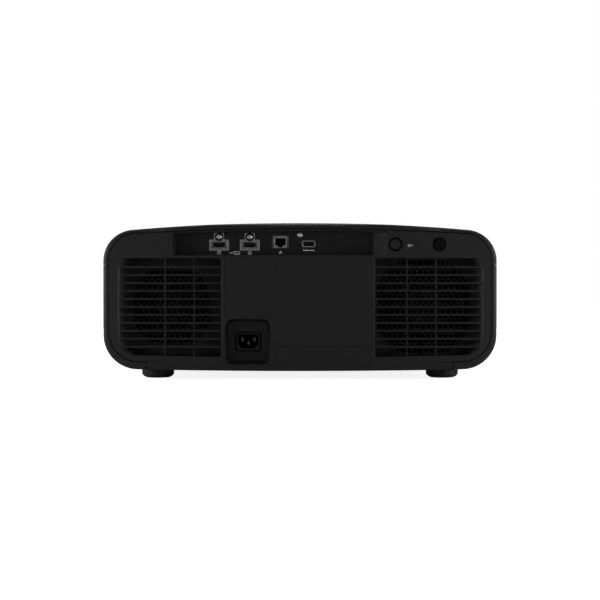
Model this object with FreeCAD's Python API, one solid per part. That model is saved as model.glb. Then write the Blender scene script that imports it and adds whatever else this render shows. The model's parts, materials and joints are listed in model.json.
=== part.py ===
"""Home theatre projector, built as an assembly of separate pieces.

The lens looks along -Y and the connector panel is at +Y. X is the width, Z is up. The origin is on the
surface that the projector stands on, under the middle of its bounding box. All sizes are in millimetres.
"""

import FreeCAD, Part
import math
import os

V = FreeCAD.Vector

# ---------------------------------------------------------------- overall size
body_width = 453.2
overall_height = 181.0  # table to the crown of the top cover
overall_depth = 479.0  # tip of the lens ring to the rear face
ring_stand_out = 7.5  # lens ring in front of the front face
foot_gap = 9.9  # table to the lowest point of the case

half_width = body_width / 2
rear_y = overall_depth / 2
front_y = -overall_depth / 2 + ring_stand_out

# ---------------------------------------------------------------- casing
wall = 2.6
crown_radius = 2260.0  # very shallow arch of the top
belly_radius = 9000.0
shoulder_radius = 36.0
haunch_radius = 40.0
rim_radius = 4.0  # rounding of the case's front and rear rims
lip_side = 6.4  # width of the rims seen from the rear
lip_top = 6.8
lip_bottom = 8.5
lip_depth = 17.0  # how far the thick rims run into the case
opening_crown_radius = 3400.0
opening_shoulder_radius = 31.0
opening_haunch_radius = 34.0
facet_drop = 3.2  # sloping facet on the crown behind the rear rim
facet_run = 15.0
parting_z = 132.5  # top cover above, lower case below
seam_gap = 0.5
panel_gap = 1.0
floor_z = 15.0  # flat inner floor that the modules stand on
tongue_half = 175.6  # the rear panel reaches the underside between these
tongue_depth = 14.5
tongue_bevel = 6.5

post_radius = 5.0
post_inset = 21.6  # screw posts, from the case's side
screw_head_radius = 3.2
screw_head_height = 2.4
screw_shank_radius = 1.6
screw_seat_z = 112.0
screw_length = 34.0

# ---------------------------------------------------------------- rear panel
panel_wall = 3.0
duct_wall = 2.0
bulkhead_y = rear_y - 35.5  # inner face of the sheet behind the vents
bulkhead_wall = 2.0
duct_gap = 0.3
duct_side_draft = 6.4
vent_top = overall_height - 41.5
vent_bottom = foot_gap + 16.2
vent_bottom_rise = 2.6  # the vents' lower edge climbs towards the case's side
large_vent_margin = 16.8  # vent to the case's side
small_vent_margin = 18.2
large_vent_width = 123.4
small_vent_width = 117.6
vent_lead_in = 1.2
vent_corner = 3.0
vent_outer_top_corner = 11.0
vent_outer_bottom_corner = 22.0
louvre_pitch = 9.16
louvre_thickness = 1.9
louvre_depth = 10.5
louvre_setback = 1.2
louvre_top_gap = 9.9
rib_thickness = 1.8
rib_pitch = 33.4
rib_side_margin = 53.0  # outer rib, from the vent's outer edge

pocket_depth = 12.0  # connector recess
pocket_bottom = vent_top + 3.8
pocket_top_lip = 2.5
pocket_end_margin = 80.3  # recess end beside the small vent, from the case's side
pocket_ramp_margin = 126.8  # recess end beside the large vent
pocket_draft = 3.1
pocket_ramp = 15.0
plate_wall = 1.5

inlet_recess_width = 52.3
inlet_recess_height = 52.9
inlet_recess_depth = 16.0
inlet_recess_corner = 9.5
inlet_recess_draft = 3.4
inlet_recess_gap = 4.6  # from the small vent
inlet_recess_lift = 7.4  # above the case's underside

label_sink = 0.7
label_margin = 3.65  # from the vents beside the fields
upper_label_width = 56.2
lower_label_height = 21.5

# ---------------------------------------------------------------- connectors
av_port_pitch = 35.6
av_port_offset = 52.6  # first port, from the recess end
av_rise = 12.1  # port centres above the recess floor
av_flange = (22.9, 12.9)
av_tab = (11.4, 7.6)
av_window = (17.0, 7.5)
av_shell = (15.1, 5.9)
av_shell_wall = 0.45
av_mouth_depth = 9.0
av_screw_rise = 9.4
port_screw_head = 2.95
port_screw_bore = 1.5
lan_offset = 71.0 + av_port_offset
lan_rise = 15.7
lan_frame = (20.0, 15.2)
lan_mouth = (12.4, 6.9)
usb_offset = 103.7 + av_port_offset
usb_rise = 13.6
usb_rim = (15.3, 7.7)
usb_mouth = (12.6, 5.2)
port_depth = 14.0
board_rise = 4.7  # main board's top above the recess floor
board_wall = 1.6
board_length = 185.0

inlet_body = (27.3, 20.3)
inlet_mouth = (24.2, 16.6)
inlet_cutout = (31.0, 23.0)
inlet_chamfer = 4.6
inlet_mouth_depth = 14.0
inlet_length = 15.5
pin_spacing = 14.0
pin_rise = 2.0

button_radius = 5.9
button_ring_radius = button_radius + 2.25
ring_groove = 2.2  # depth of the grooves round the button and the window
button_travel = 1.0
button_clearance = 0.15
button_from_ramp = 10.0
button_below_top = 25.1
button_stem = 6.98
switch_height = 4.9
window_radius = 6.2
window_ring_radius = window_radius + 1.85
window_spacing = 50.4

# ---------------------------------------------------------------- fans
large_fan = 120.0
small_fan = 100.0
exhaust_fan = 92.0
fan_depth = 25.0
fan_rim = 2.5
guard_wall = 1.5
cell_pitch = 6.64
cell_web = 1.3
large_fan_side = 81.8  # fan axis, from the case's side
small_fan_side = 76.0
exhaust_fan_side = 61.6
exhaust_gap = 24.0  # front face to the exhaust fans
exhaust_duct = 1.8
fan_z = 84.1
exhaust_z = 88.0
fan_blades = 7
fan_axle = 1.5
hub_share = 0.19
blade_thickness = 1.5

# ---------------------------------------------------------------- lens and its carriage
lens_z = 96.0
barrel_radius = 42.0
hood_radius = 46.0
tail_radius = 24.0
barrel_wall = 4.0
shift_x = 6.0
shift_z = 10.0
ring_clearance = 0.06
gear_module = 1.0
ring_teeth = 100
pinion_teeth = 14
gear_backlash = 0.12
rail_radius = 3.0
screw_radius = 2.0
run_clearance = 0.05
motor_radius = 8.0  # zoom and focus motors
shift_motor_radius = 5.5
motor_length = 30.0
drive_shaft_radius = 1.5
ring_width = 16.0
barrel_front_y = front_y
focus_ring_y = barrel_front_y + 22.0
zoom_ring_y = focus_ring_y + 20.0
shroud_y = focus_ring_y - 8.0
shroud_radius = 66.0  # disc that hides the inside as the lens shifts
flange_y = zoom_ring_y + ring_width + 36.0
flange_wall = 8.0
flange_half_x = 62.0
flange_half_z = 55.0
bushing_half = 20.0
tail_end_y = flange_y + 78.0
cell_radius = 40.0
cell_bore = 27.0
cell_length = 17.0
front_lens_radius = 37.0
front_lens_thickness = 12.0
rail_x = 52.0  # upright rods, from the lens axis
upright_y = flange_y + 14.0
carriage_y = flange_y + 20.0
carriage_wall = 6.0
carriage_half_x = 64.0
carriage_half_z = 68.0
level_y = carriage_y + 12.0
level_rod_z = 60.0  # level rods, above and below the lens axis
side_screw_z = 72.0
side_motor_x = 54.0
lift_screw_x = 70.0
frame_y = level_y + 6.0
frame_wall = 8.0
frame_half_x = 95.0
frame_half_z = 75.0
lens_ring_outer = 74.0
lens_ring_inner = 59.5

# ---------------------------------------------------------------- optics and heat sink
optics_front_y = frame_y + frame_wall + 2.0
optics_length = 160.0
optics_half_x = 60.0
optics_half_z = 40.0
prism_y = tail_end_y + 40.0
laser_y = prism_y - 36.0
sink_fins = 19
cage_height = 114.0
cage_wall = 1.0
cage_slot_pitch = 7.6
sink_length = 90.0

# ---------------------------------------------------------------- feet and mounts
foot_radius = 19.0
foot_inset = 57.6  # foot axis, from the case's side
rear_foot_inset = 55.0
front_foot_inset = 67.0
foot_travel = 5.0
foot_flutes = 24
stud_radius = 4.0
pad_radius = 14.0
mount_half_x = 120.0
mount_half_y = 110.0
mount_hole_radius = 2.5
boss_top = floor_z + 8.5


# ================================================================ helpers
def box(x0, x1, y0, y1, z0, z1):
    return Part.makeBox(x1 - x0, y1 - y0, z1 - z0, V(x0, y0, z0))


def rod_x(y, z, radius, x0, x1):
    return Part.makeCylinder(radius, x1 - x0, V(x0, y, z), V(1, 0, 0))


def rod_y(x, z, radius, y0, y1):
    return Part.makeCylinder(radius, y1 - y0, V(x, y0, z), V(0, 1, 0))


def rod_z(x, y, radius, z0, z1):
    return Part.makeCylinder(radius, z1 - z0, V(x, y, z0), V(0, 0, 1))


def tube_y(x, z, outer, inner, y0, y1):
    return rod_y(x, z, outer, y0, y1).cut(rod_y(x, z, inner, y0 - 1, y1 + 1))


def fused(shapes):
    shapes = list(shapes)
    if len(shapes) == 1:
        return shapes[0]
    return shapes[0].multiFuse(shapes[1:]).removeSplitter()


def group(shapes):
    return Part.makeCompound(list(shapes))


def rounded_wire(corners, y):
    """Closed wire in the plane at y. Each corner is (x, z, radius)."""
    count = len(corners)
    bends = []
    for i, (x, z, radius) in enumerate(corners):
        here = V(x, y, z)
        before = V(corners[i - 1][0], y, corners[i - 1][1])
        after = V(corners[(i + 1) % count][0], y, corners[(i + 1) % count][1])
        to_before = (before - here).normalize()
        to_after = (after - here).normalize()
        half = to_before.getAngle(to_after) / 2
        reach = radius / math.tan(half)
        middle = here + (to_before + to_after).normalize() * (radius / math.sin(half) - radius)
        bends.append((here + to_before * reach, middle, here + to_after * reach, radius))
    edges = []
    for i, (start, middle, end, radius) in enumerate(bends):
        if radius:
            edges.append(Part.Arc(start, middle, end).toShape())
        edges.append(Part.LineSegment(end, bends[(i + 1) % count][0]).toShape())
    return Part.Wire(edges)


def prism(wire, depth):
    """Solid between a wire in a plane of constant y and its copy at y + depth."""
    return Part.Face(wire).extrude(V(0, depth, 0))


def plate(width, height, corner, x, z, y0, y1):
    """Upright plate with rounded corners, centred on (x, z)."""
    w, h = width / 2, height / 2
    corners = [(x - w, z - h, corner), (x + w, z - h, corner), (x + w, z + h, corner), (x - w, z + h, corner)]
    return prism(rounded_wire(corners, y0), y1 - y0)


def loft(first, second):
    return Part.makeLoft([first, second], True, True)


def section(y, half, top, crown, shoulder, bottom, belly, haunch):
    """Outline of the case: upright sides, arched top and underside, round shoulders and haunches."""
    low_z = bottom + belly - math.sqrt((belly - haunch) ** 2 - (half - haunch) ** 2)
    high_z = top - crown + math.sqrt((crown - shoulder) ** 2 - (half - shoulder) ** 2)
    top_tilt = math.asin((half - shoulder) / (crown - shoulder))
    low_tilt = math.asin((half - haunch) / (belly - haunch))

    def shoulder_point(angle, side):
        return V(side * (half - shoulder + shoulder * math.sin(angle)), y, high_z + shoulder * math.cos(angle))

    def haunch_point(angle, side):
        return V(side * (half - haunch + haunch * math.sin(angle)), y, low_z - haunch * math.cos(angle))

    quarter = math.pi / 2
    top_middle = (top_tilt + quarter) / 2
    low_middle = (low_tilt + quarter) / 2
    edges = [
        Part.LineSegment(V(half, y, low_z), V(half, y, high_z)),
        Part.Arc(shoulder_point(quarter, 1), shoulder_point(top_middle, 1), shoulder_point(top_tilt, 1)),
        Part.Arc(shoulder_point(top_tilt, 1), V(0, y, top), shoulder_point(top_tilt, -1)),
        Part.Arc(shoulder_point(top_tilt, -1), shoulder_point(top_middle, -1), shoulder_point(quarter, -1)),
        Part.LineSegment(V(-half, y, high_z), V(-half, y, low_z)),
        Part.Arc(haunch_point(quarter, -1), haunch_point(low_middle, -1), haunch_point(low_tilt, -1)),
        Part.Arc(haunch_point(low_tilt, -1), V(0, y, bottom), haunch_point(low_tilt, 1)),
        Part.Arc(haunch_point(low_tilt, 1), haunch_point(low_middle, 1), haunch_point(quarter, 1)),
    ]
    return Part.Wire([edge.toShape() for edge in edges])


def case_section(y, inset):
    return section(
        y,
        half_width - inset,
        overall_height - inset,
        crown_radius - inset,
        shoulder_radius - inset,
        foot_gap + inset,
        belly_radius - inset,
        haunch_radius - inset,
    )


def opening_section(y, inset):
    """Outline of the case's end openings, and with an inset that of the panels in them."""
    return section(
        y,
        half_width - lip_side - inset,
        overall_height - lip_top - inset,
        opening_crown_radius,
        opening_shoulder_radius - inset,
        foot_gap + lip_bottom + inset,
        belly_radius,
        opening_haunch_radius - inset,
    )


def opening_top_z(x):
    """Height of the end opening's arch at x."""
    crown_centre = overall_height - lip_top - opening_crown_radius
    return crown_centre + math.sqrt(opening_crown_radius**2 - x**2)


# ================================================================ casing
def post_places():
    x = half_width - post_inset
    span = rear_y - front_y
    return [(side * x, y) for side in (-1, 1) for y in (front_y + 0.19 * span, 10.0, rear_y - 89.0)]


def foot_places():
    x = half_width - foot_inset
    rear = rear_y - rear_foot_inset
    front = front_y + front_foot_inset
    return {"front_left": (-x, front), "front_right": (x, front), "rear_left": (-x, rear), "rear_right": (x, rear)}


def mount_places():
    return [(sx * mount_half_x, sy * mount_half_y) for sx in (-1, 1) for sy in (-1, 1)]


def outer_block():
    block = prism(case_section(front_y, 0), rear_y - front_y)
    ends = [
        edge
        for edge in block.Edges
        if edge.BoundBox.YLength < 0.01
    ]
    block = block.makeFillet(rim_radius, ends)
    facet = [
        V(-half_width, rear_y, overall_height - facet_drop),
        V(-half_width, rear_y - facet_run, overall_height),
        V(-half_width, rear_y - facet_run, overall_height + 5),
        V(-half_width, rear_y + 5, overall_height + 5),
        V(-half_width, rear_y + 5, overall_height - facet_drop),
        V(-half_width, rear_y, overall_height - facet_drop),
    ]
    wedge = Part.Face(Part.makePolygon(facet)).extrude(V(body_width, 0, 0))
    return block.cut(wedge)


def shell():
    hollow = prism(case_section(front_y + lip_depth, wall), rear_y - front_y - 2 * lip_depth)
    hollow = hollow.cut(box(-half_width, half_width, front_y, rear_y, 0, floor_z))
    front_opening = prism(opening_section(front_y - 1, 0), lip_depth + 2)
    rear_opening = prism(opening_section(rear_y - lip_depth - 1, 0), lip_depth + 2)
    return outer_block().cut(hollow).cut(front_opening).cut(rear_opening)


def top_cover(whole):
    cover = whole.common(
        box(-half_width - 1, half_width + 1, front_y - 1, rear_y + 1, parting_z + seam_gap / 2, overall_height + 1)
    )
    inside = prism(case_section(front_y + lip_depth, wall / 2), rear_y - front_y - 2 * lip_depth)
    posts = []
    for x, y in post_places():
        post = rod_z(x, y, post_radius, parting_z + seam_gap / 2, overall_height)
        posts.append(post.common(inside))
    cover = fused([cover, *posts])
    for x, y in post_places():
        cover = cover.cut(rod_z(x, y, screw_shank_radius, parting_z, screw_seat_z + screw_length + 1))
    return cover


def lower_case(whole):
    case = whole.common(
        box(-half_width - 1, half_width + 1, front_y - 1, rear_y + 1, 0, parting_z - seam_gap / 2)
    )
    inside = prism(case_section(front_y + 1, wall / 2), rear_y - front_y - 2)
    posts = [rod_z(x, y, post_radius, foot_gap, parting_z - seam_gap / 2).common(inside) for x, y in post_places()]
    bosses = [rod_z(x, y, stud_radius + 8, floor_z - 1, boss_top) for x, y in foot_places().values()]
    bosses += [rod_z(x, y, mount_hole_radius + 5, floor_z - 1, boss_top) for x, y in mount_places()]
    case = fused([case, *posts, *bosses])
    for x, y in post_places():
        case = case.cut(rod_z(x, y, screw_head_radius + 0.6, 0, screw_seat_z))
        case = case.cut(rod_z(x, y, screw_shank_radius + 0.2, screw_seat_z - 1, parting_z + 1))
    for x, y in foot_places().values():
        case = case.cut(rod_z(x, y, stud_radius + run_clearance, 0, boss_top + 1))
    for x, y in mount_places():
        case = case.cut(rod_z(x, y, mount_hole_radius, 0, boss_top + 1))
    notch = tongue_half + panel_gap
    lip_z = foot_gap + lip_bottom + 3
    case = case.cut(box(-notch, notch, rear_y - lip_depth - 1.5, rear_y, floor_z, lip_z))
    return case.cut(box(-notch, notch, rear_y - tongue_depth - panel_gap, rear_y + 1, 0, lip_z))


def case_screws():
    screws = []
    for x, y in post_places():
        head = rod_z(x, y, screw_head_radius, screw_seat_z - screw_head_height, screw_seat_z)
        shank = rod_z(x, y, screw_shank_radius, screw_seat_z, screw_seat_z + screw_length)
        cross = 0.9
        socket = fused(
            [
                box(x - 2, x + 2, y - cross / 2, y + cross / 2, 0, screw_seat_z - screw_head_height / 2),
                box(x - cross / 2, x + cross / 2, y - 2, y + 2, 0, screw_seat_z - screw_head_height / 2),
            ]
        )
        screws.append(fused([head, shank]).cut(socket))
    return group(screws)


# ================================================================ rear panel
def vent_edges(side):
    """Distances of a vent's inner and outer edges from the middle. Side -1 is the large fan's."""
    if side < 0:
        outer = half_width - large_vent_margin
        return outer - large_vent_width, outer
    outer = half_width - small_vent_margin
    return outer - small_vent_width, outer


def vent_corners(side, grow, draft):
    inner, outer = vent_edges(side)
    inner -= grow
    outer += grow - draft
    corners = [
        (inner, vent_bottom - grow, vent_corner + grow),
        (outer, vent_bottom + vent_bottom_rise - grow, vent_outer_bottom_corner + grow),
        (outer, vent_top + grow, vent_outer_top_corner + grow),
        (inner, vent_top + grow, vent_corner + grow),
    ]
    return [(side * x, z, radius) for x, z, radius in corners]


def vent_funnel(side, grow, front, back):
    return loft(
        rounded_wire(vent_corners(side, grow, 0), front),
        rounded_wire(vent_corners(side, grow, duct_side_draft), back),
    )


def vent_mouth(side):
    """Chamfer round the vent's edge."""
    front = rounded_wire(vent_corners(side, vent_lead_in + 0.5, 0), rear_y + 0.5)
    return loft(front, rounded_wire(vent_corners(side, -0.5, 0), rear_y - vent_lead_in - 0.5))


def louvres(side):
    """Bars and the two ribs behind them, trimmed to the vent."""
    inner, outer = vent_edges(side)
    face = rear_y - louvre_setback
    pieces = []
    z = vent_top - louvre_top_gap
    while z > vent_bottom + louvre_pitch:
        low, high = sorted((side * (inner - 1), side * (outer + 1)))
        pieces.append(box(low, high, face - louvre_depth, face, z - louvre_thickness / 2, z + louvre_thickness / 2))
        z -= louvre_pitch
    for rib in range(2):
        x = side * (outer - rib_side_margin - rib * rib_pitch)
        rib_back = face - louvre_depth - 2
        pieces.append(
            box(x - rib_thickness / 2, x + rib_thickness / 2, rib_back, face - 4, vent_bottom - 1, vent_top + 1)
        )
    return fused(pieces).common(vent_funnel(side, duct_wall / 2, rear_y, bulkhead_y + bulkhead_wall))


def pocket_wire(y, grow, draft, ramp):
    """Outline of the connector recess: straight sides and floor, arched top."""
    left = -(half_width - pocket_ramp_margin + grow - ramp)
    right = half_width - pocket_end_margin + grow - draft
    low = pocket_bottom - grow

    def top(x):
        return opening_top_z(x) - pocket_top_lip + grow

    edges = [
        Part.LineSegment(V(left, y, low), V(right, y, low)),
        Part.LineSegment(V(right, y, low), V(right, y, top(right))),
        Part.Arc(V(right, y, top(right)), V(0, y, top(0)), V(left, y, top(left))),
        Part.LineSegment(V(left, y, top(left)), V(left, y, low)),
    ]
    return Part.Wire([edge.toShape() for edge in edges])


def pocket(grow, front, back):
    return loft(pocket_wire(front, grow, 0, 0), pocket_wire(back, grow, pocket_draft, pocket_ramp))


def inlet_centre():
    x = vent_edges(1)[0] - inlet_recess_gap - inlet_recess_width / 2
    return x, foot_gap + inlet_recess_lift + inlet_recess_height / 2


def inlet_recess(grow, front, back):
    x, z = inlet_centre()

    def outline(y, inset):
        w = inlet_recess_width / 2 + grow - inset
        h = inlet_recess_height / 2 + grow - inset
        r = inlet_recess_corner + grow - inset
        return rounded_wire([(x - w, z - h, r), (x + w, z - h, r), (x + w, z + h, r), (x - w, z + h, r)], y)

    return loft(outline(front, 0), outline(back, inlet_recess_draft))


def button_centre():
    return -(half_width - pocket_ramp_margin + button_from_ramp), overall_height - button_below_top


def window_centre():
    x, z = button_centre()
    return x - window_spacing, z


def tongue():
    """The strip of rear panel that wraps under the case between the two corners."""
    strip = prism(case_section(rear_y - tongue_depth, 0), tongue_depth)
    keep = box(-tongue_half, tongue_half, rear_y - tongue_depth, rear_y, 0, foot_gap + lip_bottom + 2)
    hollow = box(
        -tongue_half - 1,
        tongue_half + 1,
        rear_y - tongue_depth - 1,
        rear_y - panel_wall,
        foot_gap + panel_wall + 1.2,
        overall_height,
    )
    bevel = [
        V(-half_width, rear_y + 1, foot_gap + tongue_bevel),
        V(-half_width, rear_y, foot_gap + tongue_bevel),
        V(-half_width, rear_y - 2.4, foot_gap),
        V(-half_width, rear_y - 2.4, foot_gap - 1),
        V(-half_width, rear_y + 1, foot_gap - 1),
        V(-half_width, rear_y + 1, foot_gap + tongue_bevel),
    ]
    wedge = Part.Face(Part.makePolygon(bevel)).extrude(V(body_width, 0, 0))
    return strip.common(keep).cut(hollow).cut(wedge)


def label_recesses():
    """Two shallow fields for rating labels on the middle of the panel."""
    upper_right = vent_edges(1)[0] - label_margin
    upper_left = upper_right - upper_label_width
    upper_low = inlet_centre()[1] + inlet_recess_height / 2 + 4
    lower_left = label_margin - vent_edges(-1)[0]
    lower_low = foot_gap + tongue_bevel + 0.8
    fields = []
    for left, right, low, high in (
        (upper_left, upper_right, upper_low, vent_top),
        (lower_left, upper_left, lower_low, lower_low + lower_label_height),
    ):
        middle_x, middle_z = (left + right) / 2, (low + high) / 2
        fields.append(plate(right - left, high - low, 1.5, middle_x, middle_z, rear_y - label_sink, rear_y + 1))
    return fields


def rear_panel():
    inner = rear_y - panel_wall
    duct_end = bulkhead_y + bulkhead_wall + duct_gap
    pieces = [prism(opening_section(inner, panel_gap), panel_wall), tongue()]
    for side in (-1, 1):
        pieces.append(vent_funnel(side, duct_wall, inner, duct_end))
    pieces.append(pocket(duct_wall, inner, rear_y - pocket_depth))
    recess_back = rear_y - inlet_recess_depth
    pieces.append(inlet_recess(duct_wall, inner, recess_back - duct_wall))
    bx, bz = button_centre()
    for dz in (-11.5, 11.5):
        pieces.append(rod_y(bx, bz + dz, 2.4, rear_y - 18.0, inner + 1))
    panel = fused(pieces)
    for side in (-1, 1):
        panel = panel.cut(vent_funnel(side, 0, rear_y + 0.5, duct_end - 0.5)).cut(vent_mouth(side))
    panel = panel.cut(pocket(0, rear_y + 0.01, rear_y - pocket_depth - 0.01))
    panel = panel.cut(inlet_recess(0, rear_y + 0.01, recess_back))
    ix, iz = inlet_centre()
    panel = panel.cut(plate(*inlet_cutout, 4.5, ix, iz, recess_back - duct_wall - 1, recess_back + 1))
    for field in label_recesses():
        panel = panel.cut(field)
    panel = panel.cut(rod_y(bx, bz, button_ring_radius, rear_y - ring_groove, rear_y + 1))
    panel = panel.cut(rod_y(bx, bz, button_radius + button_clearance, rear_y - 20, rear_y + 1))
    wx, wz = window_centre()
    panel = panel.cut(rod_y(wx, wz, window_ring_radius, rear_y - ring_groove, rear_y + 1))
    panel = panel.cut(rod_y(wx, wz, window_radius + 0.05, rear_y - 20, rear_y + 1))
    return fused([panel, louvres(-1), louvres(1)])


# ================================================================ connectors
def board_top_z():
    return pocket_bottom + board_rise


def port_x(offset):
    return half_width - pocket_end_margin - offset


def av_places():
    z = pocket_bottom + av_rise
    return [(port_x(av_port_offset + i * av_port_pitch), z) for i in range(2)]


def lan_place():
    return port_x(lan_offset), pocket_bottom + lan_rise


def usb_place():
    return port_x(usb_offset), pocket_bottom + usb_rise


def plate_screw_place():
    return port_x(usb_offset - 9.9), usb_place()[1] + 10.2


def terminal_plate():
    face = rear_y - pocket_depth
    sheet = prism(pocket_wire(face - plate_wall, duct_wall - 0.2, pocket_draft, pocket_ramp), plate_wall)
    for x, z in av_places():
        sheet = sheet.cut(plate(av_shell[0] + 1.4, av_shell[1] + 1.4, 1, x, z, face - 3, face + 1))
        sheet = sheet.cut(rod_y(x, z + av_screw_rise, port_screw_bore, face - 3, face + 1))
    for (x, z), size in ((lan_place(), lan_frame), (usb_place(), usb_rim)):
        sheet = sheet.cut(plate(size[0] + 0.3, size[1] + 0.3, 0.5, x, z, face - 3, face + 1))
    x, z = plate_screw_place()
    return sheet.cut(rod_y(x, z, port_screw_bore, face - 3, face + 1))


def av_outline(x, z, inset, y):
    """Outline of a video receptacle: square at the top, narrower at the bottom."""
    w, h = av_shell[0] / 2 - inset, av_shell[1] / 2 - inset
    corners = [(x - w + 1.6, z - h, 0.4), (x + w - 1.6, z - h, 0.4), (x + w, z - 0.5, 0.4), (x + w, z + h, 0.4)]
    corners += [(x - w, z + h, 0.4), (x - w, z - 0.5, 0.4)]
    return rounded_wire(corners, y)


def av_ports():
    face = rear_y - pocket_depth
    back = face - port_depth
    ports = []
    for x, z in av_places():
        w = av_shell[0] / 2 - av_shell_wall
        shell_block = prism(av_outline(x, z, 0, back), face + 0.4 - back)
        mouth = prism(av_outline(x, z, av_shell_wall, face - av_mouth_depth), av_mouth_depth + 2)
        shell_block = shell_block.cut(mouth)
        flange = plate(*av_flange, 0.8, x, z, face, face + 0.8)
        tab_top = z + av_flange[1] / 2 + av_tab[1]
        tab = box(x - av_tab[0] / 2, x + av_tab[0] / 2, face, face + 0.8, z, tab_top)
        flange = fused([flange, tab]).cut(plate(*av_window, 0.8, x, z, face - 1, face + 2))
        flange = flange.cut(rod_y(x, z + av_screw_rise, port_screw_bore, face - 1, face + 2))
        tongue_bar = box(x - w + 1.9, x + w - 1.9, face - av_mouth_depth - 1, face - 0.6, z - 0.2, z + 1.0)
        can = box(x - w, x + w, back, face - plate_wall - 0.3, board_top_z(), z)
        ports.append(fused([shell_block, tongue_bar, can]))
        ports.append(flange)
    return group(ports)


def lan_port():
    face = rear_y - pocket_depth
    x, z = lan_place()
    w, h = lan_frame[0] / 2, lan_frame[1] / 2
    body = plate(*lan_frame, 0.6, x, z, face - port_depth, face + 0.7)
    foot = box(x - w + 1, x + w - 1, face - port_depth, face - plate_wall - 0.3, board_top_z(), z)
    mouth_low = z - h + 1.3
    mouth = box(x - lan_mouth[0] / 2, x + lan_mouth[0] / 2, face - 11, face + 1, mouth_low + 2.6, z + h - 3.2)
    notch = box(x - 3.2, x + 3.2, face - 11, face + 1, mouth_low + 1.2, mouth_low + 2.7)
    keyway = box(x - 1.8, x + 1.8, face - 11, face + 1, mouth_low, mouth_low + 1.3)
    bezel = plate(lan_frame[0] - 5.0, lan_frame[1] - 1.6, 0.6, x, z, face + 0.2, face + 2)
    body = fused([body, foot]).cut(fused([mouth, notch, keyway, bezel]))
    contacts = []
    for i in range(8):
        cx = x + (i - 3.5) * 1.02
        contacts.append(box(cx - 0.2, cx + 0.2, face - 11, face - 5.0, z + h - 4.4, z + h - 3.2))
    return group([body, *contacts])


def usb_port():
    face = rear_y - pocket_depth
    x, z = usb_place()
    body = plate(*usb_rim, 2.2, x, z, face - port_depth, face + 0.9)
    foot = box(x - 6.5, x + 6.5, face - port_depth, face - plate_wall - 0.3, board_top_z(), z)
    body = fused([body, foot]).cut(plate(*usb_mouth, 1.1, x, z, face - 10, face + 2))
    blade = box(x - usb_mouth[0] / 2 + 0.8, x + usb_mouth[0] / 2 - 0.8, face - 10.5, face - 0.8, z + 0.2, z + 1.7)
    return fused([body, blade])


def pan_screw(x, z, face):
    """Cross-head screw lying along Y with its head on the plane y = face."""
    radius = port_screw_head
    dome = rod_y(x, z, radius, face, face + radius * 0.55)
    dome = dome.makeChamfer(radius * 0.25, [edge for edge in dome.Edges if edge.CenterOfMass.y > face + radius * 0.5])
    shank = rod_y(x, z, port_screw_bore - 0.1, face - 4, face)
    half = radius * 0.14
    arm = radius * 0.6
    floor = face + radius * 0.22
    level = box(x - arm, x + arm, floor, face + radius, z - half, z + half)
    upright = box(x - half, x + half, floor, face + radius, z - arm, z + arm)
    return fused([dome, shank]).cut(fused([level, upright]))


def terminal_screws():
    face = rear_y - pocket_depth
    screws = [pan_screw(x, z + av_screw_rise, face + 0.8) for x, z in av_places()]
    x, z = plate_screw_place()
    screws.append(pan_screw(x, z, face))
    return group(screws)


def ac_inlet():
    x, z = inlet_centre()
    floor = rear_y - inlet_recess_depth
    w, h = inlet_mouth[0] / 2, inlet_mouth[1] / 2
    body = plate(*inlet_body, 3, x, z, floor - inlet_length, floor + 0.9)
    rim = plate(inlet_cutout[0] - 0.4, inlet_cutout[1] - 0.4, 4.2, x, z, floor - duct_wall, floor - 1.4)
    c = inlet_chamfer
    corners = [(x - w + c, z - h, 0.5), (x + w - c, z - h, 0.5), (x + w, z - h + c, 0.5), (x + w, z + h, 0.8)]
    corners += [(x - w, z + h, 0.8), (x - w, z - h + c, 0.5)]
    mouth = prism(rounded_wire(corners, floor - inlet_mouth_depth), inlet_mouth_depth + 2)
    body = fused([body, rim]).cut(mouth)
    for px, pz in pin_places():
        body = body.cut(box(px - 1, px + 1, floor - inlet_length - 1, floor, pz - 2, pz + 2))
    return body


def pin_places():
    x, z = inlet_centre()
    return [(x - pin_spacing / 2, z + pin_rise), (x, z - pin_rise), (x + pin_spacing / 2, z + pin_rise)]


def ac_inlet_pins():
    floor = rear_y - inlet_recess_depth
    return [box(x - 1, x + 1, floor - inlet_length - 6, floor - 6.5, z - 2, z + 2) for x, z in pin_places()]


# ================================================================ power button and infrared windows
def power_button():
    x, z = button_centre()
    flange_back = rear_y - panel_wall - 0.1 - 1.5
    cap = rod_y(x, z, button_radius, flange_back + 1, rear_y - 0.3)
    cap = cap.makeFillet(0.6, [edge for edge in cap.Edges if edge.CenterOfMass.y > rear_y - 0.4])
    flange = rod_y(x, z, button_radius + 1.5, flange_back, flange_back + 1.5)
    stem = rod_y(x, z, 2.0, flange_back - button_stem, flange_back + 1)
    return fused([cap, flange, stem]).cut(rod_y(x, z, 0.5, rear_y - 0.7, rear_y))


def button_board():
    x, z = button_centre()
    face = rear_y - 18.0
    board = plate(13, 28, 1, x, z, face - 1.5, face)
    switch = box(x - 6, x + 6, face, face + switch_height, z - 6, z + 6)
    plunger = rod_y(x, z, 1.5, face + switch_height, face + switch_height + 0.5)
    return group([board, fused([switch, plunger])])


def power_button_spring():
    x, z = button_centre()
    start = rear_y - 18.0 + switch_height
    end = rear_y - panel_wall - 0.1 - 1.5
    length = end - start
    wire = 0.35
    helix = Part.makeHelix((length - 2 * wire) / 5, length - 2 * wire, 4.2)
    sides = [math.radians(22.5 + 45 * i) for i in range(9)]
    corners = [V(4.2 + wire * math.cos(turn), 0, wire * math.sin(turn)) for turn in sides]
    coil = Part.Wire(helix.Edges).makePipeShell([Part.makePolygon(corners)], True, True)
    coil.rotate(V(0, 0, 0), V(1, 0, 0), -90)
    coil.translate(V(x, start + wire, z))
    return coil


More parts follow.
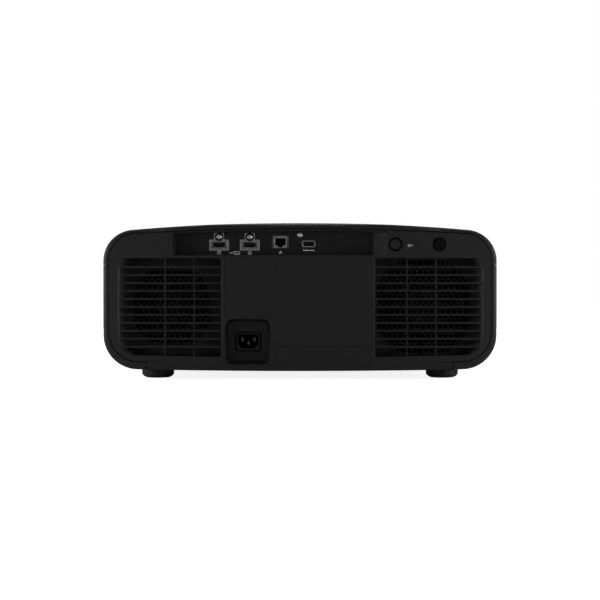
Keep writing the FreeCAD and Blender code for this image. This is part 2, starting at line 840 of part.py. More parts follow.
def infrared_window(x, z, radius, face, inward):
    """Domed window in a panel, with the receiver behind it. Inward is the direction into the case."""
    low, high = sorted((face + inward * 5, face))
    body = rod_y(x, z, radius, low, high)
    outer = [edge for edge in body.Edges if abs(edge.CenterOfMass.y - face) < 0.01]
    body = body.makeFillet(0.7, outer)
    low, high = sorted((face + inward * 4.9, face + inward * 3.1))
    return fused([body, rod_y(x, z, radius + 1.2, low, high)])


# ================================================================ fans
def fan_centre(kind):
    return {
        "large": (-(half_width - large_fan_side), fan_z),
        "small": (half_width - small_fan_side, fan_z),
        "exhaust_left": (-(half_width - exhaust_fan_side), exhaust_z),
        "exhaust_right": (half_width - exhaust_fan_side, exhaust_z),
    }[kind]


def fan_hole(kind, size, y0, y1):
    """Round hole cut flat on its four sides."""
    x, z = fan_centre(kind)
    flat = size / 2 - 5.5
    return rod_y(x, z, size / 2 + 0.8, y0, y1).common(box(x - flat, x + flat, y0, y1, z - flat, z + flat))


def intake_bulkhead():
    top = pocket_bottom - 1.0
    sheet = prism(case_section(bulkhead_y, wall + 0.3), bulkhead_wall)
    sheet = sheet.common(box(-half_width, half_width, 0, rear_y, floor_z, top))
    sheet = sheet.cut(fan_hole("large", large_fan, bulkhead_y - 1, bulkhead_y + 3))
    sheet = sheet.cut(fan_hole("small", small_fan, bulkhead_y - 1, bulkhead_y + 3))
    x, z = inlet_centre()
    return sheet.cut(plate(34, 26, 4, x, z, bulkhead_y - 1, bulkhead_y + 3))


def hexagon(x, z, y, across):
    points = []
    for i in range(7):
        angle = math.radians(90 + 60 * i)
        reach = across / math.sqrt(3)
        points.append(V(x + reach * math.cos(angle), y, z + reach * math.sin(angle)))
    return Part.makePolygon(points)


def fan_guard(kind, size):
    """Square sheet with a honeycomb field in front of the fan."""
    x, z = fan_centre(kind)
    y = bulkhead_y - guard_wall
    half = size / 2 + 1.5
    field = size / 2 + 1.0
    flat = size / 2 - 3.5
    holes = []
    row_step = cell_pitch * math.sqrt(3) / 2
    rows = int(field / row_step)
    for row in range(-rows, rows + 1):
        shift = cell_pitch / 2 if row % 2 else 0
        columns = int(field / cell_pitch) + 1
        for column in range(-columns, columns + 1):
            dx = column * cell_pitch + shift
            dz = row * row_step
            if math.hypot(dx, dz) < field and abs(dx) < flat and abs(dz) < flat:
                holes.append(hexagon(x + dx, z + dz, y, cell_pitch - cell_web))
    outline = [(x - half, z - half, 4), (x + half, z - half, 4), (x + half, z + half, 4), (x - half, z + half, 4)]
    return Part.Face([rounded_wire(outline, y), *holes]).extrude(V(0, guard_wall, 0))


def fan_frame(kind, size, y0):
    """Square fan housing with four struts carrying the motor's bearing sleeve."""
    x, z = fan_centre(kind)
    half = size / 2
    housing = plate(size, size, 5, x, z, y0, y0 + fan_depth).cut(rod_y(x, z, half - fan_rim, y0 - 1, y0 + fan_depth + 1))
    for sx in (-1, 1):
        for sz in (-1, 1):
            hole = rod_y(x + sx * (half - 7.5), z + sz * (half - 7.5), 2.15, y0 - 1, y0 + fan_depth + 1)
            housing = housing.cut(hole)
    hub = size * hub_share
    pieces = [housing, rod_y(x, z, hub, y0, y0 + 2.5), rod_y(x, z, 5, y0, y0 + 14)]
    for quarter in range(4):
        strut = box(x + hub - 2, x + half - fan_rim + 1, y0, y0 + 2.5, z - 2, z + 2)
        strut.rotate(V(x, y0, z), V(0, 1, 0), 20 + 90 * quarter)
        pieces.append(strut)
    return fused(pieces).cut(rod_y(x, z, fan_axle + run_clearance, y0 - 1, y0 + 20))


def blade(x, z, y_middle, root, tip, chord, slope):
    """Twisted blade along +X from the hub at radius root to the tip."""
    wires = []
    for radius, length, angle in ((root, chord * 0.8, slope + 12), (tip, chord, slope)):
        tilt = math.radians(angle)
        along = V(0, math.sin(tilt), math.cos(tilt))
        across = V(0, math.cos(tilt), -math.sin(tilt))
        centre = V(x + radius, y_middle, z)
        corners = []
        for a, b in ((-1, -1), (1, -1), (1, 1), (-1, 1), (-1, -1)):
            corners.append(centre + along * (a * length / 2) + across * (b * blade_thickness / 2))
        wires.append(Part.makePolygon(corners))
    return Part.makeLoft(wires, True, True)


def fan_rotor(kind, size, y0):
    x, z = fan_centre(kind)
    hub = size * hub_share
    back = y0 + 3.5
    front = y0 + fan_depth - 2.5
    cup = rod_y(x, z, hub, back, front)
    cup = cup.makeFillet(1.5, [edge for edge in cup.Edges if edge.CenterOfMass.y > front - 0.1])
    cup = cup.cut(rod_y(x, z, hub - 1.8, back - 1, front - 2))
    pieces = [cup, rod_y(x, z, fan_axle, y0 + 0.5, front - 1)]
    middle = (back + front) / 2
    swept = rod_y(x, z, size / 2 - fan_rim - 0.8, back - 2, front + 2)
    for i in range(fan_blades):
        vane = blade(x, z, middle, hub - 0.9, size / 2, size * 0.22, 35).common(swept)
        vane.rotate(V(x, middle, z), V(0, 1, 0), 360 / fan_blades * i)
        pieces.append(vane)
    return fused(pieces)


def intake_fan_y():
    return bulkhead_y - guard_wall - fan_depth


def exhaust_fan_y():
    return front_y + exhaust_gap


# ================================================================ front panel
def front_panel():
    inner = front_y + panel_wall
    pieces = [prism(opening_section(front_y, panel_gap), panel_wall)]
    for side in ("left", "right"):
        x, z = fan_centre("exhaust_" + side)
        outer = exhaust_fan + 2 * (exhaust_duct + 0.2)
        pieces.append(plate(outer, outer, 6, x, z, inner - 1, exhaust_fan_y() + fan_depth))
    panel = fused(pieces)
    for side in ("left", "right"):
        x, z = fan_centre("exhaust_" + side)
        bore = exhaust_fan + 0.4
        panel = panel.cut(plate(bore, bore, 5, x, z, front_y - 1, exhaust_fan_y() + fan_depth + 1))
    panel = panel.cut(rod_y(0, lens_z, lens_ring_inner + 4, front_y - 1, inner + 1))
    wx, wz = front_window_place()
    panel = panel.cut(rod_y(wx, wz, 5.05, front_y - 1, inner + 1))
    for x, z in status_light_places():
        panel = panel.cut(rod_y(x, z, 1.25, front_y - 1, inner + 1))
    return panel


def lens_ring():
    flare = Part.makeCone(lens_ring_inner + 6.5, lens_ring_inner, 11, V(0, -overall_depth / 2 - 0.01, lens_z), V(0, 1, 0))
    ring = rod_y(0, lens_z, lens_ring_outer, -overall_depth / 2, front_y)
    ring = ring.makeFillet(2.5, [edge for edge in ring.Edges if edge.CenterOfMass.y < front_y - 5])
    spigot = rod_y(0, lens_z, lens_ring_inner + 3.95, front_y - 1, front_y + panel_wall)
    ring = fused([ring, spigot]).cut(flare)
    return ring.cut(rod_y(0, lens_z, lens_ring_inner, -overall_depth / 2 - 1, front_y + 5))


def exhaust_grilles():
    grilles = []
    for side in ("left", "right"):
        x, z = fan_centre("exhaust_" + side)
        size = exhaust_fan + 0.2
        frame = plate(size, size, 4.8, x, z, front_y + 0.5, front_y + 6)
        frame = frame.cut(plate(size - 5, size - 5, 3, x, z, front_y, front_y + 7))
        slats = []
        for i in range(-5, 6):
            zc = z + i * 7.6
            slats.append(box(x - size / 2 + 1, x + size / 2 - 1, front_y + 1, front_y + 6, zc - 1, zc + 1))
        slats.append(box(x - 1.2, x + 1.2, front_y + 3, front_y + 6, z - size / 2 + 1, z + size / 2 - 1))
        grilles.append(fused([frame, *slats]))
    return group(grilles)


def front_window_place():
    return half_width - 75, exhaust_z + exhaust_fan / 2 + 16


def status_light_places():
    x, z = front_window_place()
    return [(-x + 10 * i, z) for i in range(3)]


def ir_windows():
    """Remote-control windows at the front and the rear, and the three status lights."""
    x, z = front_window_place()
    front = infrared_window(x, z, 5.0, front_y + 0.1, 1)
    x, z = window_centre()
    rear = infrared_window(x, z, window_radius, rear_y - 0.1, -1)
    lights = [rod_y(lx, lz, 1.2, front_y + 0.2, front_y + panel_wall + 4) for lx, lz in status_light_places()]
    return group([front, rear, *lights])


# ================================================================ lens
def optics_board_z():
    return board_top_z() - board_wall


def involute(value):
    return math.tan(value) - value


def gear(teeth, addendum, flank_steps, y0, y1):
    """Spur gear along Y about the origin, with one tooth centred on +X."""
    pitch = gear_module * teeth / 2
    base = pitch * math.cos(math.radians(20))
    tip = pitch + addendum
    root = pitch - 1.25 * gear_module
    half_pitch_angle = math.pi / (2 * teeth) - gear_backlash / 2 / pitch
    start = max(base, root)
    flank = []
    if root < base:
        flank.append((root, half_pitch_angle + involute(math.radians(20))))
    for i in range(flank_steps + 1):
        radius = start + (tip - start) * i / flank_steps
        pressure = math.acos(min(1.0, base / radius))
        flank.append((radius, half_pitch_angle + involute(math.radians(20)) - involute(pressure)))
    points = []
    for tooth in range(teeth):
        middle = 2 * math.pi * tooth / teeth
        for radius, half in flank:
            points.append(V(radius * math.cos(middle - half), y0, radius * math.sin(middle - half)))
        for radius, half in reversed(flank):
            points.append(V(radius * math.cos(middle + half), y0, radius * math.sin(middle + half)))
    points.append(points[0])
    return prism(Part.makePolygon(points), y1 - y0)


def pinion_place(name):
    """Angle of each ring's pinion around the lens axis, and the pinion's centre."""
    angle = 40.0 if name == "zoom" else 140.0
    reach = gear_module * (ring_teeth + pinion_teeth) / 2
    return angle, reach * math.cos(math.radians(angle)), lens_z + reach * math.sin(math.radians(angle))


def drive_ring(name, y0):
    """Geared ring on the barrel: a toothed half and a plain half."""
    angle, _, _ = pinion_place(name)
    teeth = gear(ring_teeth, 0.8 * gear_module, 1, y0, y0 + ring_width / 2)
    teeth.rotate(V(0, 0, 0), V(0, 1, 0), -angle)
    plain = rod_y(0, 0, barrel_radius + 5.5, y0 + ring_width / 2, y0 + ring_width)
    ring = fused([teeth, plain]).cut(rod_y(0, 0, barrel_radius + ring_clearance, y0 - 1, y0 + ring_width + 1))
    ring.translate(V(0, 0, lens_z))
    return ring


def ring_start(name):
    return zoom_ring_y if name == "zoom" else focus_ring_y


def drive_pinion(name):
    """Pinion and motor shaft. A gap between teeth faces the ring."""
    angle, x, z = pinion_place(name)
    y0 = ring_start(name) - 1
    wheel = gear(pinion_teeth, gear_module, 3, y0, y0 + ring_width / 2 + 0.5)
    wheel.rotate(V(0, 0, 0), V(0, 1, 0), -(angle + 180 + 180 / pinion_teeth))
    wheel.translate(V(x, 0, z))
    return fused([wheel, rod_y(x, z, drive_shaft_radius, y0 - 2, flange_y - motor_length + 1.5)])


def lens_motors():
    motors = []
    for name in ("zoom", "focus"):
        _, x, z = pinion_place(name)
        body = rod_y(x, z, motor_radius, flange_y - motor_length, flange_y)
        body = body.cut(rod_y(x, z, drive_shaft_radius + run_clearance, flange_y - motor_length - 1, flange_y - 5))
        motors.append(body)
    return group(motors)


def lens_barrel():
    """Stepped barrel with shoulders that keep the two rings in place, and the disc behind the lens ring."""
    hood_end = focus_ring_y - 0.4
    middle_end = flange_y + flange_wall + 9
    pieces = [
        rod_y(0, lens_z, hood_radius, barrel_front_y, hood_end),
        rod_y(0, lens_z, shroud_radius, shroud_y, shroud_y + 1.6),
        rod_y(0, lens_z, barrel_radius, hood_end - 1, middle_end),
        rod_y(0, lens_z, tail_radius, middle_end - 1, tail_end_y),
        rod_y(0, lens_z, barrel_radius + 3, focus_ring_y + ring_width + 0.4, zoom_ring_y - 0.4),
        rod_y(0, lens_z, barrel_radius + 3, zoom_ring_y + ring_width + 0.4, zoom_ring_y + ring_width + 3),
    ]
    barrel = fused(pieces)
    barrel = barrel.cut(rod_y(0, lens_z, cell_radius + run_clearance, barrel_front_y - 1, barrel_front_y + cell_bore))
    barrel = barrel.cut(rod_y(0, lens_z, barrel_radius - barrel_wall, barrel_front_y, middle_end - 3))
    return barrel.cut(rod_y(0, lens_z, tail_radius - barrel_wall, middle_end - 4, tail_end_y + 1))


def biconvex(radius, curve, thickness, y):
    """Glass element centred on y."""
    blank = rod_y(0, lens_z, radius, y - thickness, y + thickness)
    front = Part.makeSphere(curve, V(0, y - thickness / 2 + curve, lens_z))
    back = Part.makeSphere(curve, V(0, y + thickness / 2 - curve, lens_z))
    return blank.common(front).common(back)


def front_lens_cell():
    start = barrel_front_y + 3.5
    cell = tube_y(0, lens_z, cell_radius, cell_radius - 3, start, start + cell_length)
    stop = tube_y(0, lens_z, cell_radius - 2, front_lens_radius - 1.6, start, start + 2.5)
    return fused([cell, stop])


def front_lens():
    start = barrel_front_y + 3.5
    middle = start + 2.5 + front_lens_thickness / 2
    glass = biconvex(cell_radius - 3, 110.0, front_lens_thickness, middle)
    return glass.common(rod_y(0, lens_z, cell_radius, start + 2.5, start + 40))


def rear_lenses():
    """Fixed glass elements inside the barrel and its tail."""
    bore = barrel_radius - barrel_wall
    tail_bore = tail_radius - barrel_wall
    elements = [biconvex(bore, 90.0, 14.0, y) for y in (focus_ring_y + 14, zoom_ring_y + 16, flange_y - 8)]
    elements += [biconvex(tail_bore, 60.0, 9.0, y) for y in (tail_end_y - 40, tail_end_y - 10)]
    return group(elements)


def lens_flange():
    """Plate that carries the barrel up and down on the upright rods."""
    sheet = plate(2 * flange_half_x, 2 * flange_half_z, 6, 0, lens_z, flange_y, flange_y + flange_wall)
    pieces = [sheet]
    for side in (-1, 1):
        low, high = sorted((side * (rail_x - 7), side * (rail_x + 7)))
        pieces.append(
            box(low, high, flange_y + flange_wall, upright_y + 5, lens_z - bushing_half, lens_z + bushing_half)
        )
    nut_low, nut_high = rail_x + 7, lift_screw_x + 6
    pieces.append(box(nut_low - 1, nut_high, flange_y, upright_y + 5, lens_z - 5, lens_z + 5))
    flange = fused(pieces).cut(rod_y(0, lens_z, barrel_radius, flange_y - 1, upright_y + 6))
    for side in (-1, 1):
        flange = flange.cut(rod_z(side * rail_x, upright_y, rail_radius + run_clearance, 0, 300))
    return flange.cut(rod_z(lift_screw_x, upright_y, screw_radius + run_clearance, 0, 300))


def v_rods():
    reach = carriage_half_z
    return group([rod_z(s * rail_x, upright_y, rail_radius, lens_z - reach, lens_z + reach) for s in (-1, 1)])


def shift_carriage():
    """Frame that slides sideways on the level rods and carries the upright rods."""
    x, z = carriage_half_x, carriage_half_z
    sheet = plate(2 * x, 2 * z, 6, 0, lens_z, carriage_y, carriage_y + carriage_wall)
    window_z = tail_radius + shift_z + 3
    sheet = sheet.cut(plate(2 * (tail_radius + 4), 2 * window_z, 8, 0, lens_z, carriage_y - 1, carriage_y + 10))
    pieces = [sheet]
    for side in (-1, 1):
        for end in (-1, 1):
            low, high = sorted((lens_z + end * (z - 7), lens_z + end * z))
            left, right = sorted((side * (rail_x - 7), side * (rail_x + 7)))
            pieces.append(box(left, right, upright_y - 5, carriage_y + 1, low, high))
            left, right = sorted((side * (x - 22), side * x))
            middle = lens_z + end * level_rod_z
            pieces.append(box(left, right, carriage_y + carriage_wall - 1, level_y + 5, middle - 6, middle + 6))
    # bracket of the lifting motor and the lug that steadies the top of its screw
    pieces.append(
        box(x - 1, lift_screw_x + 9, upright_y - 9, carriage_y + carriage_wall, lens_z - 33, lens_z - 30)
    )
    pieces.append(box(x - 1, lift_screw_x + 5, upright_y - 5, carriage_y + carriage_wall, lens_z + 28, lens_z + 32))
    # lug of the sideways screw
    pieces.append(
        box(-8, 8, carriage_y, level_y + 5, lens_z - side_screw_z - 5, lens_z - z + 2)
    )
    carriage = fused(pieces)
    for side in (-1, 1):
        carriage = carriage.cut(
            rod_z(side * rail_x, upright_y, rail_radius, lens_z - z - 1, lens_z + z + 1)
        )
        level = lens_z + side * level_rod_z
        carriage = carriage.cut(rod_x(level_y, level, rail_radius + run_clearance, -x - 1, x + 1))
    carriage = carriage.cut(
        rod_z(lift_screw_x, upright_y, screw_radius + run_clearance, lens_z - 40, lens_z + 40)
    )
    return carriage.cut(rod_x(level_y, lens_z - side_screw_z, screw_radius + run_clearance, -20, 20))


def h_rods():
    reach = frame_half_x - 0.5
    return group([rod_x(level_y, lens_z + s * level_rod_z, rail_radius, -reach, reach) for s in (-1, 1)])


def lens_frame():
    """Upright sheet on the floor that carries the level rods and the sideways screw."""
    top = lens_z + frame_half_z
    sheet = box(-frame_half_x, frame_half_x, frame_y, frame_y + frame_wall, floor_z, top)
    sheet = sheet.cut(plate(120, 110, 10, 0, lens_z, frame_y - 1, frame_y + 20))
    foot = box(-frame_half_x, frame_half_x, frame_y, frame_y + 12, floor_z, floor_z + 4)
    pieces = [sheet, foot]
    for side in (-1, 1):
        for end in (-1, 1):
            left, right = sorted((side * (frame_half_x - 6), side * frame_half_x))
            middle = lens_z + end * level_rod_z
            pieces.append(box(left, right, level_y - 6, frame_y + 1, middle - 7, middle + 7))
    low = lens_z - side_screw_z
    pieces.append(box(side_motor_x - 4, side_motor_x - 1, level_y - 5, frame_y + 1, floor_z, low + 5))
    pieces.append(box(-side_motor_x - 4, -side_motor_x, level_y - 5, frame_y + 1, floor_z, low + 5))
    frame = fused(pieces)
    for side in (-1, 1):
        level = lens_z + side * level_rod_z
        frame = frame.cut(rod_x(level_y, level, rail_radius, -frame_half_x - 1, frame_half_x + 1))
    frame = frame.cut(box(-30, 30, frame_y + frame_wall, frame_y + 30, floor_z - 1, floor_z + 5))
    return frame.cut(rod_x(level_y, low, screw_radius + run_clearance, -side_motor_x - 5, side_motor_x))


def h_shift_motor():
    low = lens_z - side_screw_z
    body = rod_x(level_y, low, shift_motor_radius, side_motor_x - 1, side_motor_x + 27)
    return body.cut(rod_x(level_y, low, screw_radius + run_clearance, side_motor_x - 2, side_motor_x + 10))


def h_shift_screw():
    return rod_x(level_y, lens_z - side_screw_z, screw_radius, -side_motor_x - 6, side_motor_x + 8)


def v_shift_motor():
    top = lens_z - 33
    body = rod_z(lift_screw_x, upright_y, shift_motor_radius, top - 28, top)
    return body.cut(rod_z(lift_screw_x, upright_y, screw_radius + run_clearance, top - 10, top + 1))


def v_shift_screw():
    return rod_z(lift_screw_x, upright_y, screw_radius, lens_z - 33 - 8, lens_z + 34)


# ================================================================ optics and electronics
def optical_block():
    """Light-tight housing for the prism, open at the front for the lens tail."""
    x = optics_half_x
    top = lens_z + optics_half_z
    low = lens_z - optics_half_z
    y0, y1 = optics_front_y, optics_front_y + optics_length
    body = box(-x, x, y0, y1, low, top).cut(box(-x + 4, x - 4, y0 + 4, y1 - 4, low + 4, top - 4))
    pieces = [body]
    for sx in (-1, 1):
        for sy in (y0 + 14, y1 - 14):
            pieces.append(rod_z(sx * (x - 10), sy, 6, floor_z, low + 1))
    for i in range(9):
        fin = y0 + 66 + i * 10
        pieces.append(box(-x + 6, x - 6, fin, fin + 2, top - 0.5, top + 5))
    for sx in (-1, 1):
        pieces.append(rod_z(sx * (x - 6), y1 - 10, 3.5, top - 0.5, optics_board_z()))
    block = fused(pieces).cut(rod_y(0, lens_z, tail_radius + math.hypot(shift_x, shift_z) + 1, y0 - 1, y0 + 5))
    return block.cut(box(-x - 1, -x + 5, prism_y - 10, prism_y + 10, lens_z - 10, lens_z + 10))


def prism_assembly():
    """Colour-combining cube on its pedestal, with an imaging panel on three sides."""
    half = 16.0
    base = lens_z - optics_half_z + 4
    pedestal = box(-30, 30, prism_y - 20, prism_y + 30, base, base + 5)
    column = box(-12, 12, prism_y - 12, prism_y + 12, base + 5, lens_z - half)
    cube = box(-half, half, prism_y - half, prism_y + half, lens_z - half, lens_z + half)
    pieces = [fused([pedestal, column]), cube]
    for angle in (0, 90, 180):
        panel = plate(34, 34, 1.5, 0, lens_z, prism_y + half + 2, prism_y + half + 5)
        stand = box(-15, 15, prism_y + half + 2, prism_y + half + 5, base + 5, lens_z - 16)
        side = fused([panel, stand])
        side.rotate(V(0, prism_y, 0), V(0, 0, 1), angle - 90)
        pieces.append(side)
    return group(pieces)


def laser_module():
    """Light source with a fixing base and a tunnel into the optical block."""
    low, top = floor_z + 11, lens_z + 14
    x0, x1 = -half_width + 29, -optics_half_x - 20
    body = box(x0, x1, laser_y, laser_y + 80, low, top)
    pieces = [body]
    for i in range(10):
        y = laser_y + 4 + i * 7.6
        pieces.append(box(x0 + 4, x1 - 4, y, y + 2, top - 0.5, top + 10))
    for x in (x0 + 14, x1 - 8):
        for y in (laser_y + 8, laser_y + 72):
            pieces.append(rod_z(x, y, 5, floor_z, low + 1))
    tunnel = box(x1 - 1, -optics_half_x, prism_y - 12, prism_y + 12, lens_z - 12, lens_z + 12)
    hollow = box(x1, -optics_half_x + 1, prism_y - 10, prism_y + 10, lens_z - 10, lens_z + 10)
    return fused([*pieces, tunnel]).cut(hollow)


def heat_sink():
    """Stack of upright fins on three heat pipes from the light source."""
    x0, x1 = -half_width + 29, -optics_half_x - 30
    low, top = floor_z + 15, lens_z + 42
    start = laser_y + 84
    end = start + sink_length
    fins = []
    for i in range(sink_fins):
        x = x0 + 1 + (x1 - x0 - 2) * i / (sink_fins - 1)
        fins.append(box(x - 0.5, x + 0.5, start, end, low, top))
    pipes = []
    for i in range(3):
        z = floor_z + 32 + i * 24
        y = start + 20 + i * 22
        pipes.append(rod_x(y, z, 3, x0 + 0.5, x1 - 0.5))
        pipes.append(rod_y(x1 - 8 - i * 9, z, 3, laser_y + 80, y))
    base = box(x0 + 0.5, x1 - 0.5, start + 4, end - 4, low - 3, low)
    legs = [rod_z(x, y, 4, floor_z, low - 2) for x in (x0 + 14, x1 - 6) for y in (start + 12, end - 12)]
    return fused([base, *fins, *pipes, *legs])


def main_board():
    """Circuit board behind the connectors, with its larger parts."""
    top = board_top_z()
    low = top - board_wall
    x0, x1 = -80.0, half_width - pocket_end_margin - 16
    back = rear_y - pocket_depth - plate_wall
    board = box(x0, x1, back - board_length, back, low, top)
    parts = [board]
    parts.append(box(-28, 22, back - 110, back - 60, top, top + 2.2))
    for i in range(11):
        parts.append(box(-26, 20, back - 108 + i * 4.4, back - 106.8 + i * 4.4, top + 2.2, top + 14))
    for i in range(4):
        x = 34 + 20 * i
        parts.append(box(x, x + 14, back - 86, back - 66, top, top + 1.2))
    for i in range(5):
        parts.append(rod_z(x0 + 10 + 12 * i, back - board_length + 14, 4, top, top + 11))
    for i in range(3):
        parts.append(box(x0 + 8 + 18 * i, x0 + 20 + 18 * i, back - board_length + 30, back - board_length + 42, top, top + 5))
    for x in (40, 70, 100):
        parts.append(box(x, x + 22, back - board_length + 8, back - board_length + 15, top, top + 8))
    return group(parts)


def supply_board():
    """Sides of the power supply's board: left, right, front and back."""
    return optics_half_x + 6, half_width - 31, -20.0, 148.0


def power_supply_cage():
    """Sheet cover over the power supply, with slots low at the back and high at the front."""
    x0, x1, y0, y1 = supply_board()
    x0, x1, y0, y1 = x0 - 2.5, x1 + 2.5, y0 - 5, y1 + 12
    top = floor_z + cage_height
    base = floor_z + 10
    cover = box(x0, x1, y0, y1, base, top)
    cover = cover.cut(box(x0 + cage_wall, x1 - cage_wall, y0 + cage_wall, y1 - cage_wall, base - 1, top - cage_wall))
    slots = int((x1 - x0 - 20) / cage_slot_pitch)
    for i in range(slots + 1):
        x = x0 + 10 + i * cage_slot_pitch
        cover = cover.cut(box(x - 2.2, x + 2.2, y1 - 3, y1 + 1, floor_z + 12, floor_z + 50))
        cover = cover.cut(box(x - 2.2, x + 2.2, y0 - 1, y0 + 3, floor_z + 66, top - 12))
    legs = []
    for x in (x0 + 14, x1 - 34):
        legs.append(box(x, x + 14, y0, y0 + cage_wall, floor_z, base + 5))
        legs.append(box(x, x + 14, y1 - cage_wall, y1, floor_z, base + 5))
    return fused([cover, *legs])


def power_supply():
    """Mains supply: board on pillars, transformers, capacitors and cooling bars."""
    x0, x1, y0, y1 = supply_board()
    low = floor_z + 11
    top = low + board_wall
    parts = [box(x0, x1, y0, y1, low, top)]
    for x in (x0 + 6, x1 - 6):
        for y in (y0 + 6, y1 - 6):
            parts.append(rod_z(x, y, 3.5, floor_z, low))
    parts.append(box(x0 + 38, x0 + 78, y0 + 84, y0 + 122, top, top + 34))
    parts.append(box(x0 + 46, x0 + 76, y0 + 128, y0 + 156, top, top + 28))
    for i in range(3):
        parts.append(rod_z(x0 + 20, y0 + 24 + 30 * i, 12.5, top, top + 46))
    for x in (x0 + 40, x0 + 92):
        parts.append(box(x, x + 3, y0 + 12, y0 + 76, top, top + 40))
    for i in range(5):
        parts.append(box(x0 + 43.2, x0 + 48, y0 + 16 + 12 * i, y0 + 24 + 12 * i, top, top + 18))
    for i in range(4):
        parts.append(rod_z(x0 + 112, y0 + 20 + 16 * i, 6, top, top + 24))
    choke = rod_z(x0 + 70, y0 + 40, 15, top, top + 15).cut(rod_z(x0 + 70, y0 + 40, 6, top - 1, top + 16))
    parts.append(choke)
    parts.append(box(x0 + 98, x0 + 118, y0 + 100, y0 + 130, top, top + 22))
    return group(parts)


# ================================================================ feet
def foot_knob(name):
    """Knurled wheel and threaded stud of one levelling foot."""
    x, y = foot_places()[name]
    wheel = rod_z(x, y, foot_radius, 1.0, foot_gap - 0.3)
    wheel = wheel.makeChamfer(3.0, [edge for edge in wheel.Edges if edge.CenterOfMass.z < 1.1])
    wheel = wheel.makeFillet(0.6, [edge for edge in wheel.Edges if edge.CenterOfMass.z > foot_gap - 0.4])
    for i in range(foot_flutes):
        angle = 2 * math.pi * i / foot_flutes
        reach = foot_radius + 0.5
        wheel = wheel.cut(rod_z(x + reach * math.cos(angle), y + reach * math.sin(angle), 1.3, 0, foot_gap + 1))
    stud = rod_z(x, y, stud_radius, foot_gap - 1, boss_top - 0.1)
    knob = fused([wheel, stud])
    knob = knob.cut(rod_z(x, y, pad_radius + 0.3, 0, 2.3))
    knob = knob.cut(rod_z(x, y, 2.5 + run_clearance, 2, 6))
    return knob.cut(rod_z(x, y, 3.6, 5.2, 7.6))


def foot_pad(name):
    x, y = foot_places()[name]
    pad = rod_z(x, y, pad_radius, 0, 2.0)
    pad = pad.makeFillet(0.5, [edge for edge in pad.Edges if edge.CenterOfMass.z < 0.1])
    return fused([pad, rod_z(x, y, 2.5, 1, 6), rod_z(x, y, 3.3, 5.5, 7.2)])


# ================================================================ assembly
def pieces():
    whole = shell()
    made = {
        "top_cover": top_cover(whole),
        "lower_case": lower_case(whole),
        "case_screws": case_screws(),
        "rear_panel": rear_panel(),
        "front_panel": front_panel(),
        "lens_ring": lens_ring(),
        "exhaust_grilles": exhaust_grilles(),
        "terminal_plate": terminal_plate(),
        "terminal_screws": terminal_screws(),
        "av_ports": av_ports(),
        "lan_port": lan_port(),
        "usb_port": usb_port(),
        "ac_inlet": ac_inlet(),
        "ac_inlet_pins": group(ac_inlet_pins()),
        "ir_windows": ir_windows(),
        "power_button": power_button(),
        "power_button_spring": power_button_spring(),
        "button_board": button_board(),
        "intake_bulkhead": intake_bulkhead(),
        "fan_guards": group([fan_guard("large", large_fan), fan_guard("small", small_fan)]),
        "large_fan_frame": fan_frame("large", large_fan, intake_fan_y()),
        "large_fan_rotor": fan_rotor("large", large_fan, intake_fan_y()),
        "small_fan_frame": fan_frame("small", small_fan, intake_fan_y()),
        "small_fan_rotor": fan_rotor("small", small_fan, intake_fan_y()),
        "exhaust_fan_frames": group(
            [fan_frame("exhaust_" + side, exhaust_fan, exhaust_fan_y()) for side in ("left", "right")]
        ),
        "exhaust_fan_rotor_left": fan_rotor("exhaust_left", exhaust_fan, exhaust_fan_y()),
        "exhaust_fan_rotor_right": fan_rotor("exhaust_right", exhaust_fan, exhaust_fan_y()),
        "lens_frame": lens_frame(),
        "h_rods": h_rods(),
        "shift_carriage": shift_carriage(),
        "v_rods": v_rods(),
        "lens_flange": lens_flange(),
        "lens_barrel": lens_barrel(),
        "rear_lenses": rear_lenses(),
        "front_lens_cell": front_lens_cell(),
        "front_lens": front_lens(),
        "zoom_ring": drive_ring("zoom", zoom_ring_y),
        "focus_ring": drive_ring("focus", focus_ring_y),
        "zoom_pinion": drive_pinion("zoom"),
        "focus_pinion": drive_pinion("focus"),
        "lens_motors": lens_motors(),
        "h_shift_motor": h_shift_motor(),
        "h_shift_screw": h_shift_screw(),
        "v_shift_motor": v_shift_motor(),
        "v_shift_screw": v_shift_screw(),
        "optical_block": optical_block(),
        "prism_assembly": prism_assembly(),
        "laser_module": laser_module(),
        "heat_sink": heat_sink(),
        "main_board": main_board(),
        "power_supply": power_supply(),
        "power_supply_cage": power_supply_cage(),
    }
    for name in foot_places():
        made["foot_" + name] = foot_knob(name)
        made["foot_pad_" + name] = foot_pad(name)
    return made


os.makedirs("parts", exist_ok=True)
for node, shape in pieces().items():
    shape.exportStep("parts/" + node + ".step")
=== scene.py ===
"""Looks of the home theatre projector: materials, printed marks, small fittings, studio and camera.

All sizes are in metres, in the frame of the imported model: the lens looks along -Y, the connector panel is
at +Y, X is the width and Z is up.
"""

import json
import math

import bmesh
import bpy
from mathutils import Matrix, Vector


